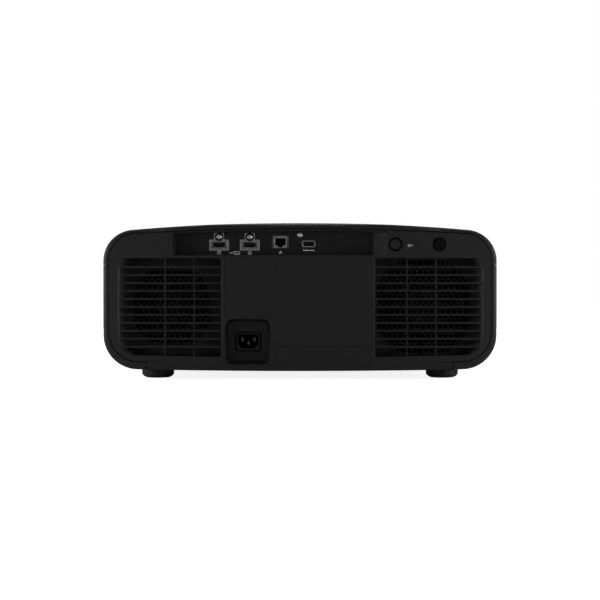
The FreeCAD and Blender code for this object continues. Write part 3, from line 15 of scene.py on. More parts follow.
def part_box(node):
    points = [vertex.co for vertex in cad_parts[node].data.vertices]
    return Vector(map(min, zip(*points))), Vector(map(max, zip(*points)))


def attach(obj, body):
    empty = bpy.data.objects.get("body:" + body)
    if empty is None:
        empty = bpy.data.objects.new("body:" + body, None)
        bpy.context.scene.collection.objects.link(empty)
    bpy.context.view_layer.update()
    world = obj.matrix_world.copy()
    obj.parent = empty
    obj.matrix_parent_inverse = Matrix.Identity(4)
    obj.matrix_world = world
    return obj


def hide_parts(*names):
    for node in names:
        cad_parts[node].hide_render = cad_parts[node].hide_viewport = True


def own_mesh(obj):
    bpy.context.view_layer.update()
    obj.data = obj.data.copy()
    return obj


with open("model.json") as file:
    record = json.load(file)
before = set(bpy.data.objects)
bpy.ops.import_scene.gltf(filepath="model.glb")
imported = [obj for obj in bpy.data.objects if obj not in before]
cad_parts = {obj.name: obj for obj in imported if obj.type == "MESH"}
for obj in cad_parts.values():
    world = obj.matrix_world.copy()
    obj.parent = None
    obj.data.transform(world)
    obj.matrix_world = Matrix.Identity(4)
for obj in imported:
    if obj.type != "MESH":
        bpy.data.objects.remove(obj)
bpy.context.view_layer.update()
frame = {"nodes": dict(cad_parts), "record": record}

nodes = frame["nodes"]

MM = 0.001


# ================================================================ materials
class Nodes:
    """Short way to write a material's node tree."""

    def __init__(self, name):
        self.material = bpy.data.materials.new(name)
        self.material.use_nodes = True
        self.tree = self.material.node_tree
        self.shader = self.tree.nodes["Principled BSDF"]
        self.place = self.add("ShaderNodeTexCoord").outputs["Object"]

    def add(self, kind, **settings):
        node = self.tree.nodes.new(kind)
        for key, value in settings.items():
            setattr(node, key, value)
        return node

    def join(self, source, target):
        self.tree.links.new(source, target)

    def noise(self, scale, detail=2.0, roughness=0.5, stretch=None):
        node = self.add("ShaderNodeTexNoise")
        node.inputs["Scale"].default_value = scale
        node.inputs["Detail"].default_value = detail
        node.inputs["Roughness"].default_value = roughness
        self.join(self.stretched(stretch), node.inputs["Vector"])
        return node.outputs["Fac"]

    def stretched(self, stretch):
        if stretch is None:
            return self.place
        mapping = self.add("ShaderNodeMapping")
        mapping.inputs["Scale"].default_value = stretch
        self.join(self.place, mapping.inputs["Vector"])
        return mapping.outputs["Vector"]

    def cells(self, scale):
        node = self.add("ShaderNodeTexVoronoi", feature="F1")
        node.inputs["Scale"].default_value = scale
        self.join(self.place, node.inputs["Vector"])
        return node.outputs["Distance"]

    def spread(self, source, low, high, start=0.3, end=0.7):
        node = self.add("ShaderNodeMapRange")
        node.inputs["From Min"].default_value = start
        node.inputs["From Max"].default_value = end
        node.inputs["To Min"].default_value = low
        node.inputs["To Max"].default_value = high
        self.join(source, node.inputs["Value"])
        return node.outputs["Result"]

    def blend(self, factor, first, second):
        node = self.add("ShaderNodeMix", data_type="RGBA")
        node.inputs["A"].default_value = (*first, 1)
        node.inputs["B"].default_value = (*second, 1)
        self.join(factor, node.inputs["Factor"])
        return node.outputs["Result"]

    def soft_edges(self, radius):
        """Normal with edges rounded by the radius."""
        node = self.add("ShaderNodeBevel", samples=4)
        node.inputs["Radius"].default_value = radius
        return node.outputs["Normal"]

    def bump(self, height, distance, strength, normal=None):
        node = self.add("ShaderNodeBump")
        node.inputs["Distance"].default_value = distance
        node.inputs["Strength"].default_value = strength
        self.join(height, node.inputs["Height"])
        if normal is not None:
            self.join(normal, node.inputs["Normal"])
        return node.outputs["Normal"]

    def set(self, **values):
        for key, value in values.items():
            self.shader.inputs[key.replace("_", " ")].default_value = value


def tinted(colour, factor):
    """The colour made darker or lighter by the factor."""
    return tuple(min(1.0, c * factor) for c in colour)


def moulded(name, colour, roughness, grain=2600.0, depth=0.00006, edge=0.0005, specular=0.28, coat=0.0):
    """Moulded plastic with an eroded grain, slight clouding and softened edges."""
    n = Nodes(name)
    cloud = n.noise(9.0, 3.0)
    n.join(n.blend(cloud, tinted(colour, 0.9), tinted(colour, 1.12)), n.shader.inputs["Base Color"])
    n.join(n.spread(n.noise(55.0, 4.0), roughness - 0.035, roughness + 0.045), n.shader.inputs["Roughness"])
    rounded = n.soft_edges(edge)
    n.join(n.bump(n.noise(grain, 3.0, 0.65), depth, 0.4, rounded), n.shader.inputs["Normal"])
    n.set(Specular_IOR_Level=specular, Coat_Weight=coat, Coat_Roughness=0.2)
    return n.material


def coated_sheet(name, colour, roughness, grain=1500.0, specular=0.4):
    """Powder-coated sheet metal: a fine leathery texture."""
    n = Nodes(name)
    cells = n.cells(grain)
    n.join(n.blend(n.noise(20.0), tinted(colour, 0.85), tinted(colour, 1.15)), n.shader.inputs["Base Color"])
    n.join(n.spread(n.noise(300.0), roughness - 0.08, roughness + 0.08), n.shader.inputs["Roughness"])
    n.join(n.bump(cells, 0.00008, 0.5, n.soft_edges(0.0003)), n.shader.inputs["Normal"])
    n.set(Specular_IOR_Level=specular)
    return n.material


def metal(name, colour, roughness, stretch=(1, 1, 1), scale=800.0, depth=0.00001, stain=0.12, edge=0.0002):
    """Bare or plated metal. The stretch gives brushed or turned marks their direction."""
    n = Nodes(name)
    marks = n.noise(scale, 4.0, 0.6, stretch)
    stains = n.blend(n.noise(60.0, 4.0), tinted(colour, 1 - stain), tinted(colour, 1 + stain))
    n.join(stains, n.shader.inputs["Base Color"])
    n.join(n.spread(marks, roughness * 0.75, roughness * 1.3), n.shader.inputs["Roughness"])
    n.join(n.bump(marks, depth, 0.35, n.soft_edges(edge)), n.shader.inputs["Normal"])
    n.set(Metallic=1.0)
    return n.material


def circuit_board(name, colour, copper):
    """Solder mask with tracks and pads showing faintly through it."""
    n = Nodes(name)
    brick = n.add("ShaderNodeTexBrick", offset=0.37, squash=1.6)
    brick.inputs["Scale"].default_value = 240.0
    brick.inputs["Mortar Size"].default_value = 0.09
    brick.inputs["Mortar Smooth"].default_value = 0.1
    brick.inputs["Color1"].default_value = (*colour, 1)
    brick.inputs["Color2"].default_value = (*tinted(colour, 1.35), 1)
    brick.inputs["Mortar"].default_value = (*copper, 1)
    n.join(n.place, brick.inputs["Vector"])
    n.join(brick.outputs["Color"], n.shader.inputs["Base Color"])
    n.join(n.spread(n.noise(900.0), 0.28, 0.42), n.shader.inputs["Roughness"])
    n.join(n.bump(brick.outputs["Fac"], 0.00005, 0.4, n.soft_edges(0.0001)), n.shader.inputs["Normal"])
    return n.material


def window_plastic(name, colour):
    """Dark filter plastic: glossy, nearly opaque, with a faint moulding ripple."""
    n = Nodes(name)
    n.join(n.blend(n.noise(40.0), tinted(colour, 0.8), tinted(colour, 1.25)), n.shader.inputs["Base Color"])
    n.join(n.spread(n.noise(90.0), 0.24, 0.32), n.shader.inputs["Roughness"])
    n.join(n.bump(n.noise(120.0), 0.00005, 0.2, n.soft_edges(0.0006)), n.shader.inputs["Normal"])
    n.set(Specular_IOR_Level=0.16)
    return n.material


def optical_glass(name, tint, film, strength):
    """Glass with a coloured anti-reflection film, which shows as a tinted coat."""
    n = Nodes(name)
    facing = n.add("ShaderNodeLayerWeight")
    facing.inputs["Blend"].default_value = 0.35
    n.join(n.blend(facing.outputs["Facing"], tint, film), n.shader.inputs["Base Color"])
    n.join(n.spread(n.noise(70.0, 3.0), 0.012, 0.035), n.shader.inputs["Roughness"])
    n.set(Transmission_Weight=0.92, IOR=1.55, Coat_Weight=strength, Coat_Tint=(*film, 1), Coat_Roughness=0.03)
    return n.material


def rubbery(name, colour, roughness=0.75, grain=1200.0):
    """Matt rubber or ferrite, with a coarse grain."""
    n = Nodes(name)
    dusty = n.blend(n.noise(45.0, 4.0), tinted(colour, 0.8), tinted(colour, 1.3))
    n.join(dusty, n.shader.inputs["Base Color"])
    wear = n.noise(220.0, 4.0)
    n.join(n.spread(wear, roughness - 0.08, roughness + 0.08), n.shader.inputs["Roughness"])
    n.join(n.bump(n.noise(grain, 4.0, 0.7), 0.0001, 0.5, n.soft_edges(0.0005)), n.shader.inputs["Normal"])
    n.set(Specular_IOR_Level=0.3)
    return n.material


def ink(name, colour):
    """Screen-printed ink, slightly uneven."""
    n = Nodes(name)
    uneven = n.blend(n.noise(2500.0, 3.0), tinted(colour, 0.82), tinted(colour, 1.05))
    n.join(uneven, n.shader.inputs["Base Color"])
    n.join(n.spread(n.noise(1500.0), 0.45, 0.62), n.shader.inputs["Roughness"])
    n.join(n.bump(n.noise(3000.0), 0.00002, 0.3), n.shader.inputs["Normal"])
    return n.material


BLACK = (0.0056, 0.0056, 0.006)
stuff = {
    "case_plastic": moulded("moulded_case", BLACK, 0.5),
    "panel_plastic": moulded("moulded_panel", tinted(BLACK, 1.05), 0.52),
    "trim_black": moulded("satin_trim", tinted(BLACK, 0.8), 0.3, grain=3500.0, depth=0.00002, coat=0.15),
    "terminal_sheet": coated_sheet(
        "textured_black_sheet", (0.0036, 0.0036, 0.0039), 0.66, 2400.0, specular=0.22
    ),
    "dark_sheet": coated_sheet("dark_zinc_sheet", (0.02, 0.02, 0.0205), 0.55, 900.0, specular=0.3),
    "connector_metal": metal("nickel_shell", (0.30, 0.30, 0.295), 0.38, (1, 1, 6), 1500.0),
    "screw_steel": metal("zinc_plated_steel", (0.62, 0.62, 0.63), 0.3, (1, 1, 1), 1800.0),
    "dull_shell": metal("tin_shell", (0.075, 0.075, 0.078), 0.5, (1, 1, 6), 1500.0),
    "black_steel": metal("black_oxide_steel", (0.035, 0.035, 0.04), 0.42),
    "gold": metal("gold_contact", (0.5, 0.36, 0.14), 0.3, (1, 8, 1), 1600.0),
    "brass_pin": metal("bright_pin", (0.15, 0.147, 0.14), 0.42, (1, 10, 1), 900.0),
    "inlet_plastic": moulded("socket_plastic", (0.006, 0.006, 0.006), 0.45, grain=1800.0, edge=0.0004),
    # painted shade: this near-black plastic goes on faces inside grooves, port mouths and recesses, where
    # shade falls
    "painted_shade_black": moulded("painted_shade_plastic", (0.0016, 0.0016, 0.0016), 0.75, grain=1800.0, specular=0.1),
    # painted shade: a darker copy of the panel plastic for faces that turn sideways
    "painted_side_shade": moulded("painted_side_shade_plastic", tinted(BLACK, 0.6), 0.56, specular=0.15),
    # painted light: a grey far lighter than the panel, for duct walls that the lamps hardly reach
    "duct_painted_light": moulded("duct_painted_light_plastic", (0.05, 0.05, 0.051), 0.6, specular=0.3),
    "window_plastic": window_plastic("infrared_filter", (0.0014, 0.0013, 0.0015)),
    "fan_plastic": moulded(
        "fan_plastic", (0.0028, 0.0028, 0.003), 0.5, grain=1600.0, edge=0.0004, specular=0.2
    ),
    "board_green": circuit_board("green_board", (0.006, 0.055, 0.02), (0.03, 0.16, 0.06)),
    "board_tan": circuit_board("tan_board", (0.23, 0.15, 0.06), (0.36, 0.26, 0.12)),
    "lens_metal": metal("black_anodised", (0.028, 0.028, 0.031), 0.4, (1, 12, 1), 500.0),
    "raw_metal": metal("cast_aluminium", (0.62, 0.63, 0.65), 0.42, (1, 1, 1), 700.0, 0.00008),
    # painted shade: plating made far darker than nickel, so parts inside the case stay shaded behind the
    # vents
    "dark_plating": metal("plated_pipe_painted_shade", (0.05, 0.046, 0.043), 0.34, (3, 1, 1), 500.0),
    "fin_stack": metal("black_anodised_fins", (0.02, 0.02, 0.021), 0.5, (1, 1, 1), 700.0, 0.00008),
    "bright_rod": metal("ground_rod", (0.8, 0.8, 0.82), 0.12, (1, 1, 1), 1500.0),
    "ring_plastic": moulded("acetal_ring", (0.016, 0.016, 0.017), 0.38, edge=0.0002),
    "pinion_brass": metal("machined_brass", (0.74, 0.52, 0.2), 0.26, (1, 6, 1), 900.0),
    "coated_glass": optical_glass("coated_glass", (0.86, 0.93, 0.97), (0.32, 0.42, 0.85), 0.6),
    "motor_steel": metal("motor_can", (0.5, 0.5, 0.52), 0.32, (1, 1, 8), 600.0),
    "spring_steel": metal("spring_wire", (0.7, 0.7, 0.72), 0.2),
    "foot_plastic": moulded("foot_plastic", (0.009, 0.009, 0.0095), 0.42, edge=0.0005),
    "foot_rubber": rubbery("foot_rubber", (0.018, 0.018, 0.018)),
    "chip_black": moulded("chip_epoxy", (0.018, 0.018, 0.02), 0.5, grain=4000.0, edge=0.0002),
    "capacitor": metal("capacitor_can", (0.7, 0.71, 0.73), 0.25, (1, 1, 12), 300.0),
    "sleeve_blue": moulded("capacitor_sleeve", (0.014, 0.03, 0.12), 0.3, edge=0.0006),
    "core_tape": moulded("transformer_tape", (0.55, 0.4, 0.06), 0.36, grain=300.0, edge=0.0006),
    "ferrite": rubbery("ferrite_core", (0.045, 0.045, 0.05), 0.6, 700.0),
    "connector_white": moulded("connector_nylon", (0.62, 0.6, 0.53), 0.4, edge=0.0002),
    "ink": ink("printed_ink", (0.8, 0.8, 0.8)),
}

slot_of = {part["node"]: part["material_slot"] for part in frame["record"]["subparts"]}
for name, obj in nodes.items():
    obj.data.materials.clear()
    obj.data.materials.append(stuff[slot_of[name]])


def paint(node, material, inside):
    """Gives the faces of a CAD node whose centre is inside (a test on x, y, z in mm) another material."""
    mesh = nodes[node].data
    mesh.materials.append(stuff[material])
    index = len(mesh.materials) - 1
    for face in mesh.polygons:
        x, y, z = face.center / MM
        if inside(x, y, z, face.normal):
            face.material_index = index


# ---------------------------------------------------------------- faces of a node in another material
# Distances in this section are in mm, and drops are measured down from a node's highest point.
VIDEO_PORT_INSET = 11.45  # from the side of av_ports to the middle of its outer port, in mm
VIDEO_PORT_RISE = 7.4  # from the lower edge of av_ports to the middle of the ports, in mm


def within(value, middle, half):
    """True up to half on either side of the middle."""
    return abs(value - middle) <= half


def paint_video_ports():
    """Painted shade on the metal walls inside each video port, and the black tongue in each port."""
    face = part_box("terminal_plate")[1].y / MM
    low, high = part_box("av_ports")
    port_z = low.z / MM + VIDEO_PORT_RISE
    rim = face + 0.39
    hollow_half_width, hollow_half_height = 7.15, 2.55
    tongue_front, tongue_z = face - 0.5, port_z + 0.4
    tongue_half_width, tongue_half_height = 5.4, 0.65
    for port_x in (high.x / MM - VIDEO_PORT_INSET, low.x / MM + VIDEO_PORT_INSET):
        def lining(x, y, z, normal, cx=port_x):
            return y < rim and within(x, cx, hollow_half_width) and within(z, port_z, hollow_half_height)

        def tongue(x, y, z, normal, cx=port_x):
            across = within(x, cx, tongue_half_width) and within(z, tongue_z, tongue_half_height)
            return y < tongue_front and across

        # painted shade: the metal walls inside the port are painted near-black
        paint("av_ports", "painted_shade_black", lining)
        paint("av_ports", "inlet_plastic", tongue)


def paint_network_jack():
    """Dull shell, mouth of black plastic made darker still with painted shade, and gold contacts of the
    network jack.
    """
    low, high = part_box("lan_port")
    middle, front, top = (low.x + high.x) / 2 / MM, high.y / MM, high.z / MM

    bezel_half_width, bezel_half_height, bezel_drop, bezel_depth = 7.5, 6.82, 7.6, 1
    mouth_half_width, mouth_top_drop, mouth_low_drop, mouth_depth = 6.3, 3.1, 13.95, 0.6
    contact_half_width, contact_half_height, contact_drop, contact_depth = 4.0, 0.61, 3.8, 11.5

    def shell(x, y, z, normal):
        in_bezel = within(x, middle, bezel_half_width) and within(z, top - bezel_drop, bezel_half_height)
        return not (y > front - bezel_depth and in_bezel)

    def mouth(x, y, z, normal):
        in_height = top - mouth_low_drop < z < top - mouth_top_drop
        return within(x, middle, mouth_half_width) and y < front - mouth_depth and in_height

    def contacts(x, y, z, normal):
        in_row = within(z, top - contact_drop, contact_half_height) and within(x, middle, contact_half_width)
        faces_down = normal.z < -0.5
        return in_row and y > front - contact_depth and faces_down

    paint("lan_port", "dull_shell", shell)
    # black plastic of the mouth, darkened further with painted shade
    paint("lan_port", "painted_shade_black", mouth)
    paint("lan_port", "gold", contacts)


def paint_small_port():
    """Painted shade in the mouth of the small port, and its black tongue."""
    low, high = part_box("usb_port")
    port_drop = 3.85
    middle, front, port_z = (low.x + high.x) / 2 / MM, high.y / MM, high.z / MM - port_drop
    mouth_half_width, mouth_half_height, mouth_depth = 6.32, 2.62, 0.1
    tongue_half_width, tongue_half_height, tongue_depth = 5.6, 0.8, 1.5
    tongue_z = port_z + 0.95

    def mouth(x, y, z, normal):
        across = within(x, middle, mouth_half_width) and within(z, port_z, mouth_half_height)
        return across and y < front - mouth_depth

    def tongue(x, y, z, normal):
        across = within(x, middle, tongue_half_width) and within(z, tongue_z, tongue_half_height)
        return across and y < front - tongue_depth

    # painted shade: the metal walls inside the mouth are painted near-black
    paint("usb_port", "painted_shade_black", mouth)
    paint("usb_port", "inlet_plastic", tongue)


def paint_main_board():
    """Chips, cooler, capacitors, chokes and connectors on the main board."""
    low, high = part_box("main_board")
    back, front, left = high.y / MM, low.y / MM, low.x / MM
    board_thickness = 1.6
    top = low.z / MM + board_thickness

    def part(material, start_x, end_x, start_y, end_y, above=0.05):
        paint(
            "main_board",
            material,
            lambda x, y, z, n: z > top + above and start_x < x < end_x and start_y < y < end_y,
        )

    anywhere = math.inf
    part("chip_black", -anywhere, 110, -anywhere, anywhere)
    part("raw_metal", -30, 24, back - 112, back - 58, 2.25)
    part("capacitor", -anywhere, left + 70, -anywhere, front + 19, 0.3)
    part("ferrite", -anywhere, left + 60, front + 28, front + 44)
    part("connector_white", 38, anywhere, -anywhere, front + 16)


def paint_power_supply():
    """Windings, cores, capacitors and coolers on the power supply's board."""
    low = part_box("power_supply")[0]
    board_top = 12.6  # above the ends of the posts
    x0, y0, top = low.x / MM, low.y / MM, low.z / MM + board_top

    def part(material, left, right, front, back, above=0.1, below=99.0):
        def inside(x, y, z, normal):
            on_board = x0 + left < x < x0 + right and y0 + front < y < y0 + back
            return on_board and top + above < z < top + below

        paint("power_supply", material, inside)

    part("core_tape", 37, 79, 83, 123)
    part("ferrite", 45, 77, 127, 157)
    part("sleeve_blue", 7, 33, 11, 98)
    part("capacitor", 7, 33, 11, 98, 45.9)
    part("raw_metal", 39, 43.1, 11, 77)
    part("raw_metal", 91, 95.1, 11, 77)
    part("chip_black", 43.15, 49, 11, 77, 0.1, 18.5)
    part("capacitor", 105, 119, 13, 75)
    part("dark_plating", 54, 86, 24, 56)
    part("core_tape", 97, 119, 99, 131)
    below_board = top - 1.65
    paint("power_supply", "pinion_brass", lambda x, y, z, n: z < below_board)


def paint_cooling():
    """Black fins, and plated heat pipes made dark as painted shade, so they show no glints behind the vents.
    Each pipe runs along X through the fins, then along Y.
    """
    nodes["heat_sink"].data.materials[0] = stuff["fin_stack"]
    low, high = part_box("heat_sink")
    fins_front = high.y / MM - 90
    pipe_radius = 3.05
    for i in range(3):
        pipe_x = high.x / MM - 7.5 - i * 9
        pipe_y = fins_front + 20 + i * 22
        pipe_z = low.z / MM + 32 + i * 24

        def across(x, y, z, normal, cy=pipe_y, cz=pipe_z):
            return math.hypot(y - cy, z - cz) < pipe_radius and abs(normal.x) < 0.5

        def lengthwise(x, y, z, normal, cx=pipe_x, cy=pipe_y, cz=pipe_z):
            return math.hypot(x - cx, z - cz) < pipe_radius and y < cy and abs(normal.y) < 0.5

        paint("heat_sink", "dark_plating", across)
        paint("heat_sink", "dark_plating", lengthwise)


def paint_rear_panel():
    """Painted shade in the grooves and on the mains inlet floor, painted light on the outer duct walls,
    painted shade on sideways faces.
    """
    spots = [v.co / MM for v in nodes["ir_windows"].data.vertices if v.co.y > 0]
    window_x = (min(p.x for p in spots) + max(p.x for p in spots)) / 2
    window_z = (min(p.z for p in spots) + max(p.z for p in spots)) / 2
    button_low, button_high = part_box("power_button")
    just_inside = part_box("rear_panel")[1].y / MM - 0.2
    button_groove_radius, window_groove_radius = 8.3, 8.25
    button_x = (button_low.x + button_high.x) / 2 / MM
    button_z = (button_low.z + button_high.z) / 2 / MM

    def groove_round(cx, cz, radius):
        return lambda x, y, z, n: math.hypot(x - cx, z - cz) < radius and y < just_inside

    def outer_duct_wall(x, y, z, normal):
        """Walls of the ducts nearest the sides of the case, which face its middle; they get painted light."""
        return abs(x) > 193 and y < 237 and abs(normal.x) > 0.5 and normal.x * x < 0

    def connector_ramp(x, y, z, normal):
        """Slanted end of the connector recess, beside the button; it gets painted shade."""
        return -101 < x < -84 and y > 226 and z > 141 and normal.x > 0.3

    def sideways_edge(x, y, z, normal):
        """Sideways faces at the vents' inner edges, in the mouth of the mains recess and round the labels;
        they get painted shade.
        """
        return -103 < x < 100 and y > 234 and z < 139 and abs(normal.x) > 0.3

    # painted shade in the grooves round the power button and the infrared window
    paint("rear_panel", "painted_shade_black", groove_round(button_x, button_z, button_groove_radius))
    paint("rear_panel", "painted_shade_black", groove_round(window_x, window_z, window_groove_radius))
    # painted light on the outer duct walls
    paint("rear_panel", "duct_painted_light", outer_duct_wall)
    # painted shade on the connector ramp and on sideways faces
    paint("rear_panel", "painted_side_shade", connector_ramp)
    paint("rear_panel", "painted_side_shade", sideways_edge)
    # painted shade on the floor of the mains inlet
    inlet_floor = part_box("ac_inlet")[1].y / MM - 2
    paint("ac_inlet", "painted_shade_black", lambda x, y, z, n: y < inlet_floor and n.y > 0.9)


def paint_rest():
    """Frame and imaging panels round the prism cube, parts on the button board, status light guides."""
    low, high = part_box("prism_assembly")
    cube_z = high.z / MM - 17
    cube_y = low.y / MM + 20
    cube_half = 16.1
    panels_reach = 17.5  # the imaging panels stand further than this from the cube's middle

    def frame_round_cube(x, y, z, normal):
        offsets = ((x, 0), (y, cube_y), (z, cube_z))
        return not all(within(value, middle, cube_half) for value, middle in offsets)

    def imaging_panels(x, y, z, normal):
        return z > cube_z - 17 and math.hypot(x, y - cube_y) > panels_reach

    paint("prism_assembly", "lens_metal", frame_round_cube)
    paint("prism_assembly", "chip_black", imaging_panels)
    board_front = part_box("button_board")[0].y / MM + 1.5
    paint("button_board", "chip_black", lambda x, y, z, n: y > board_front + 0.05)
    paint("ir_windows", "connector_white", lambda x, y, z, n: x < 0 and y < 0)


paint_video_ports()
paint_network_jack()
paint_small_port()
paint_main_board()
paint_power_supply()
paint_cooling()
paint_rear_panel()
paint_rest()


# ================================================================ building aids
def finished(name, builder, material, body):
    """Object from a bmesh, with its material, riding on a body."""
    mesh = bpy.data.meshes.new(name)
    builder.normal_update()
    builder.to_mesh(mesh)
    builder.free()
    obj = bpy.data.objects.new(name, mesh)
    bpy.context.scene.collection.objects.link(obj)
    mesh.materials.append(stuff[material])
    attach(obj, body)
    return obj


def add_box(builder, low, high):
    """Box between two corners."""
    xs, ys, zs = zip(low, high)
    verts = [builder.verts.new((x, y, z)) for x in xs for y in ys for z in zs]
    for face in ((0, 1, 3, 2), (4, 6, 7, 5), (0, 4, 5, 1), (2, 3, 7, 6), (0, 2, 6, 4), (1, 5, 7, 3)):
        builder.faces.new([verts[i] for i in face])


def add_arc(builder, centre, outer, inner, y0, y1, start=0.0, end=360.0, steps=48):
    """Flat ring or arc in an X-Z plane, between y0 and y1. Angles are seen from the rear, from the right."""
    closed = end - start >= 360.0
    count = steps if closed else steps + 1
    rows = []
    for i in range(count):
        angle = math.radians(start + (end - start) * i / steps)
        c, s = -math.cos(angle), math.sin(angle)
        row = []
        for radius, y in ((inner, y0), (outer, y0), (outer, y1), (inner, y1)):
            row.append(builder.verts.new((centre[0] + radius * c, y, centre[1] + radius * s)))
        rows.append(row)
    spans = count if closed else count - 1
    for i in range(spans):
        first, second = rows[i], rows[(i + 1) % count]
        for k in range(4):
            builder.faces.new((first[k], first[(k + 1) % 4], second[(k + 1) % 4], second[k]))
    if not closed:
        builder.faces.new(rows[0])
        builder.faces.new(list(reversed(rows[-1])))


def fit_normals(builder):
    """Turns every face outwards."""
    bmesh.ops.recalc_face_normals(builder, faces=builder.faces)


# ================================================================ contacts in the ports
def contact_row(name, middle, count, pitch, width, y0, y1, z0, z1):
    """Row of flat gold contacts along X."""
    row = bmesh.new()
    for i in range(count):
        x = middle + (i - (count - 1) / 2) * pitch
        add_box(row, (x - width / 2, y0, z0), (x + width / 2, y1, z1))
    fit_normals(row)
    finished(name, row, "gold", "chassis")


plate_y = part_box("terminal_plate")[1].y
ports_low, ports_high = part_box("av_ports")
port_places = [ports_high.x - VIDEO_PORT_INSET * MM, ports_low.x + VIDEO_PORT_INSET * MM]
port_z = ports_low.z + VIDEO_PORT_RISE * MM
for number, port_x in enumerate(port_places, start=1):
    for side, count, edge in (("upper", 10, port_z + 1.0 * MM), ("lower", 9, port_z - 0.2 * MM)):
        contact_row(
            f"video_contacts_{side}_{number}",
            port_x,
            count,
            1.0 * MM,
            0.42 * MM,
            plate_y - 6 * MM,
            plate_y - 1.2 * MM,
            edge - 0.06 * MM,
            edge + 0.06 * MM,
        )


# ================================================================ printed marks
INK = 0.04 * MM  # thickness of the print
DIGIT_SHARE = 0.7  # height of a numeral as a share of the type size
panel_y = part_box("rear_panel")[1].y


def centre_of(node):
    """Middle of a CAD node's box."""
    low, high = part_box(node)
    return (low + high) / 2


def digit(name, text, x, z, height):
    """Numeral that reads the right way round from the rear."""
    curve = bpy.data.curves.new(name, "FONT")
    curve.body = text
    curve.size = height / DIGIT_SHARE
    curve.align_x = "CENTER"
    curve.align_y = "CENTER"
    curve.extrude = INK / 2
    obj = bpy.data.objects.new(name, curve)
    bpy.context.scene.collection.objects.link(obj)
    turned = Matrix.Rotation(math.pi, 4, "Z") @ Matrix.Rotation(math.pi / 2, 4, "X")
    obj.matrix_world = Matrix.Translation((x, plate_y + INK / 2, z)) @ turned
    curve.materials.append(stuff["ink"])
    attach(obj, "chassis")


mark_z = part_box("terminal_plate")[0].z + 4.9 * MM
for number, x in enumerate(port_places, start=1):
    ring = bmesh.new()
    add_arc(ring, (x, mark_z), 2.1 * MM, 1.7 * MM, plate_y, plate_y + INK)
    fit_normals(ring)
    finished(f"port_number_ring_{number}", ring, "ink", "chassis")
    digit(f"port_number_{number}", str(number), x, mark_z, 2.3 * MM)


def marks(name, x, z, y, bars=(), arcs=()):
    """Printed symbol from bars (dx, dz, width, height) and arcs (dx, dz, outer, inner, start, end), in mm."""
    shape = bmesh.new()
    for dx, dz, width, height in bars:
        cx, cz = x - dx * MM, z + dz * MM
        w, h = width * MM / 2, height * MM / 2
        add_box(shape, (cx - w, y, cz - h), (cx + w, y + INK, cz + h))
    for dx, dz, outer, inner, start, end in arcs:
        add_arc(shape, (x - dx * MM, z + dz * MM), outer * MM, inner * MM, y, y + INK, start, end)
    fit_normals(shape)
    return finished(name, shape, "ink", "chassis")


# ---------------------------------------------------------------- fittings
def seam_seal():
    """Foam strip behind the upper edge of the front panel, so that no light comes through the seam."""
    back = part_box("front_panel")[0].y + 3 * MM  # inner face of the panel
    depth = 3 * MM  # along Y
    reach = 0.9 * MM  # past the panel's edge, up to the top cover
    overlap = 3 * MM  # behind the panel

    def on_upper_edge(p):
        above_vents = abs(p.x) > 190 * MM or p.z > 165 * MM
        return abs(p.y - back) < 0.1 * MM and p.z > 150 * MM and above_vents

    corners = [v.co for v in nodes["front_panel"].data.vertices if on_upper_edge(v.co)]
    edge = [Vector(p) for p in sorted({(round(p.x, 5), round(p.z, 5)) for p in corners})]
    strip = bmesh.new()
    rows = []
    for i, point in enumerate(edge):
        along = (edge[min(i + 1, len(edge) - 1)] - edge[max(i - 1, 0)]).normalized()
        outward = Vector((-along.y, along.x))
        inner, outer = point - outward * overlap, point + outward * reach
        section = ((inner, back), (outer, back), (outer, back + depth), (inner, back + depth))
        rows.append([strip.verts.new((spot.x, y, spot.y)) for spot, y in section])
    for first, second in zip(rows, rows[1:]):
        for i in range(4):
            strip.faces.new((first[i], first[(i + 1) % 4], second[(i + 1) % 4], second[i]))
    strip.faces.new(rows[0])
    strip.faces.new(rows[-1][::-1])
    fit_normals(strip)
    finished("seam_seal", strip, "foot_rubber", "chassis")


def return_spring():
    """The button's spring as an object of its own, with its own mesh, riding on the chassis. The real spring
    shortens by the button's travel as the button is pressed.
    """
    spring = bpy.data.objects.new("return_spring", nodes["power_button_spring"].data.copy())
    bpy.context.scene.collection.objects.link(spring)
    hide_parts("power_button_spring")
    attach(spring, "chassis")
    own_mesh(spring)


seam_seal()
return_spring()

# painted shade: flat near-black rings round the screws of the video ports, for the shade in their
# countersinks
tab_face = plate_y + 0.8 * MM
tab_screw_z = centre_of("av_ports").z + 6.1 * MM
for number, x in enumerate(port_places, start=1):
    countersink_shade = bmesh.new()
    add_arc(countersink_shade, (x, tab_screw_z), 4.9 * MM, 3.0 * MM, tab_face, tab_face + INK)
    fit_normals(countersink_shade)
    finished(f"screw_countersink_shade_{number}", countersink_shade, "painted_shade_black", "chassis")


# ---------------------------------------------------------------- symbols
# picture-signal symbol between the two video ports: a screen on a stand, with an arrow into it
screen_bars = [(2.6, 1.3, 7.4, 0.45), (2.6, -1.2, 7.4, 0.45)]
screen_bars += [(-0.9, 0.05, 0.45, 2.9), (6.1, 0.05, 0.45, 2.9)]
screen_bars += [(2.6, -1.9, 3.4, 0.45), (-4.4, 0.05, 4.0, 0.45)]
screen_bars += [(-2.5 - 0.28 * i, 0.05, 0.29, 0.45 + 0.5 * i) for i in range(4)]
marks("video_symbol", sum(port_places) / 2, mark_z, plate_y, screen_bars)

# wired-network symbol: one box over two
lan = centre_of("lan_port")
net_bars = [(0, 1.0, 1.3, 1.0), (-1.3, -1.0, 1.3, 1.0), (1.3, -1.0, 1.3, 1.0)]
net_bars += [(0, 0.25, 0.25, 0.7), (0, 0.0, 2.85, 0.25), (-1.3, -0.3, 0.25, 0.6), (1.3, -0.3, 0.25, 0.6)]
marks("network_symbol", lan.x, mark_z + 0.4 * MM, plate_y, net_bars)

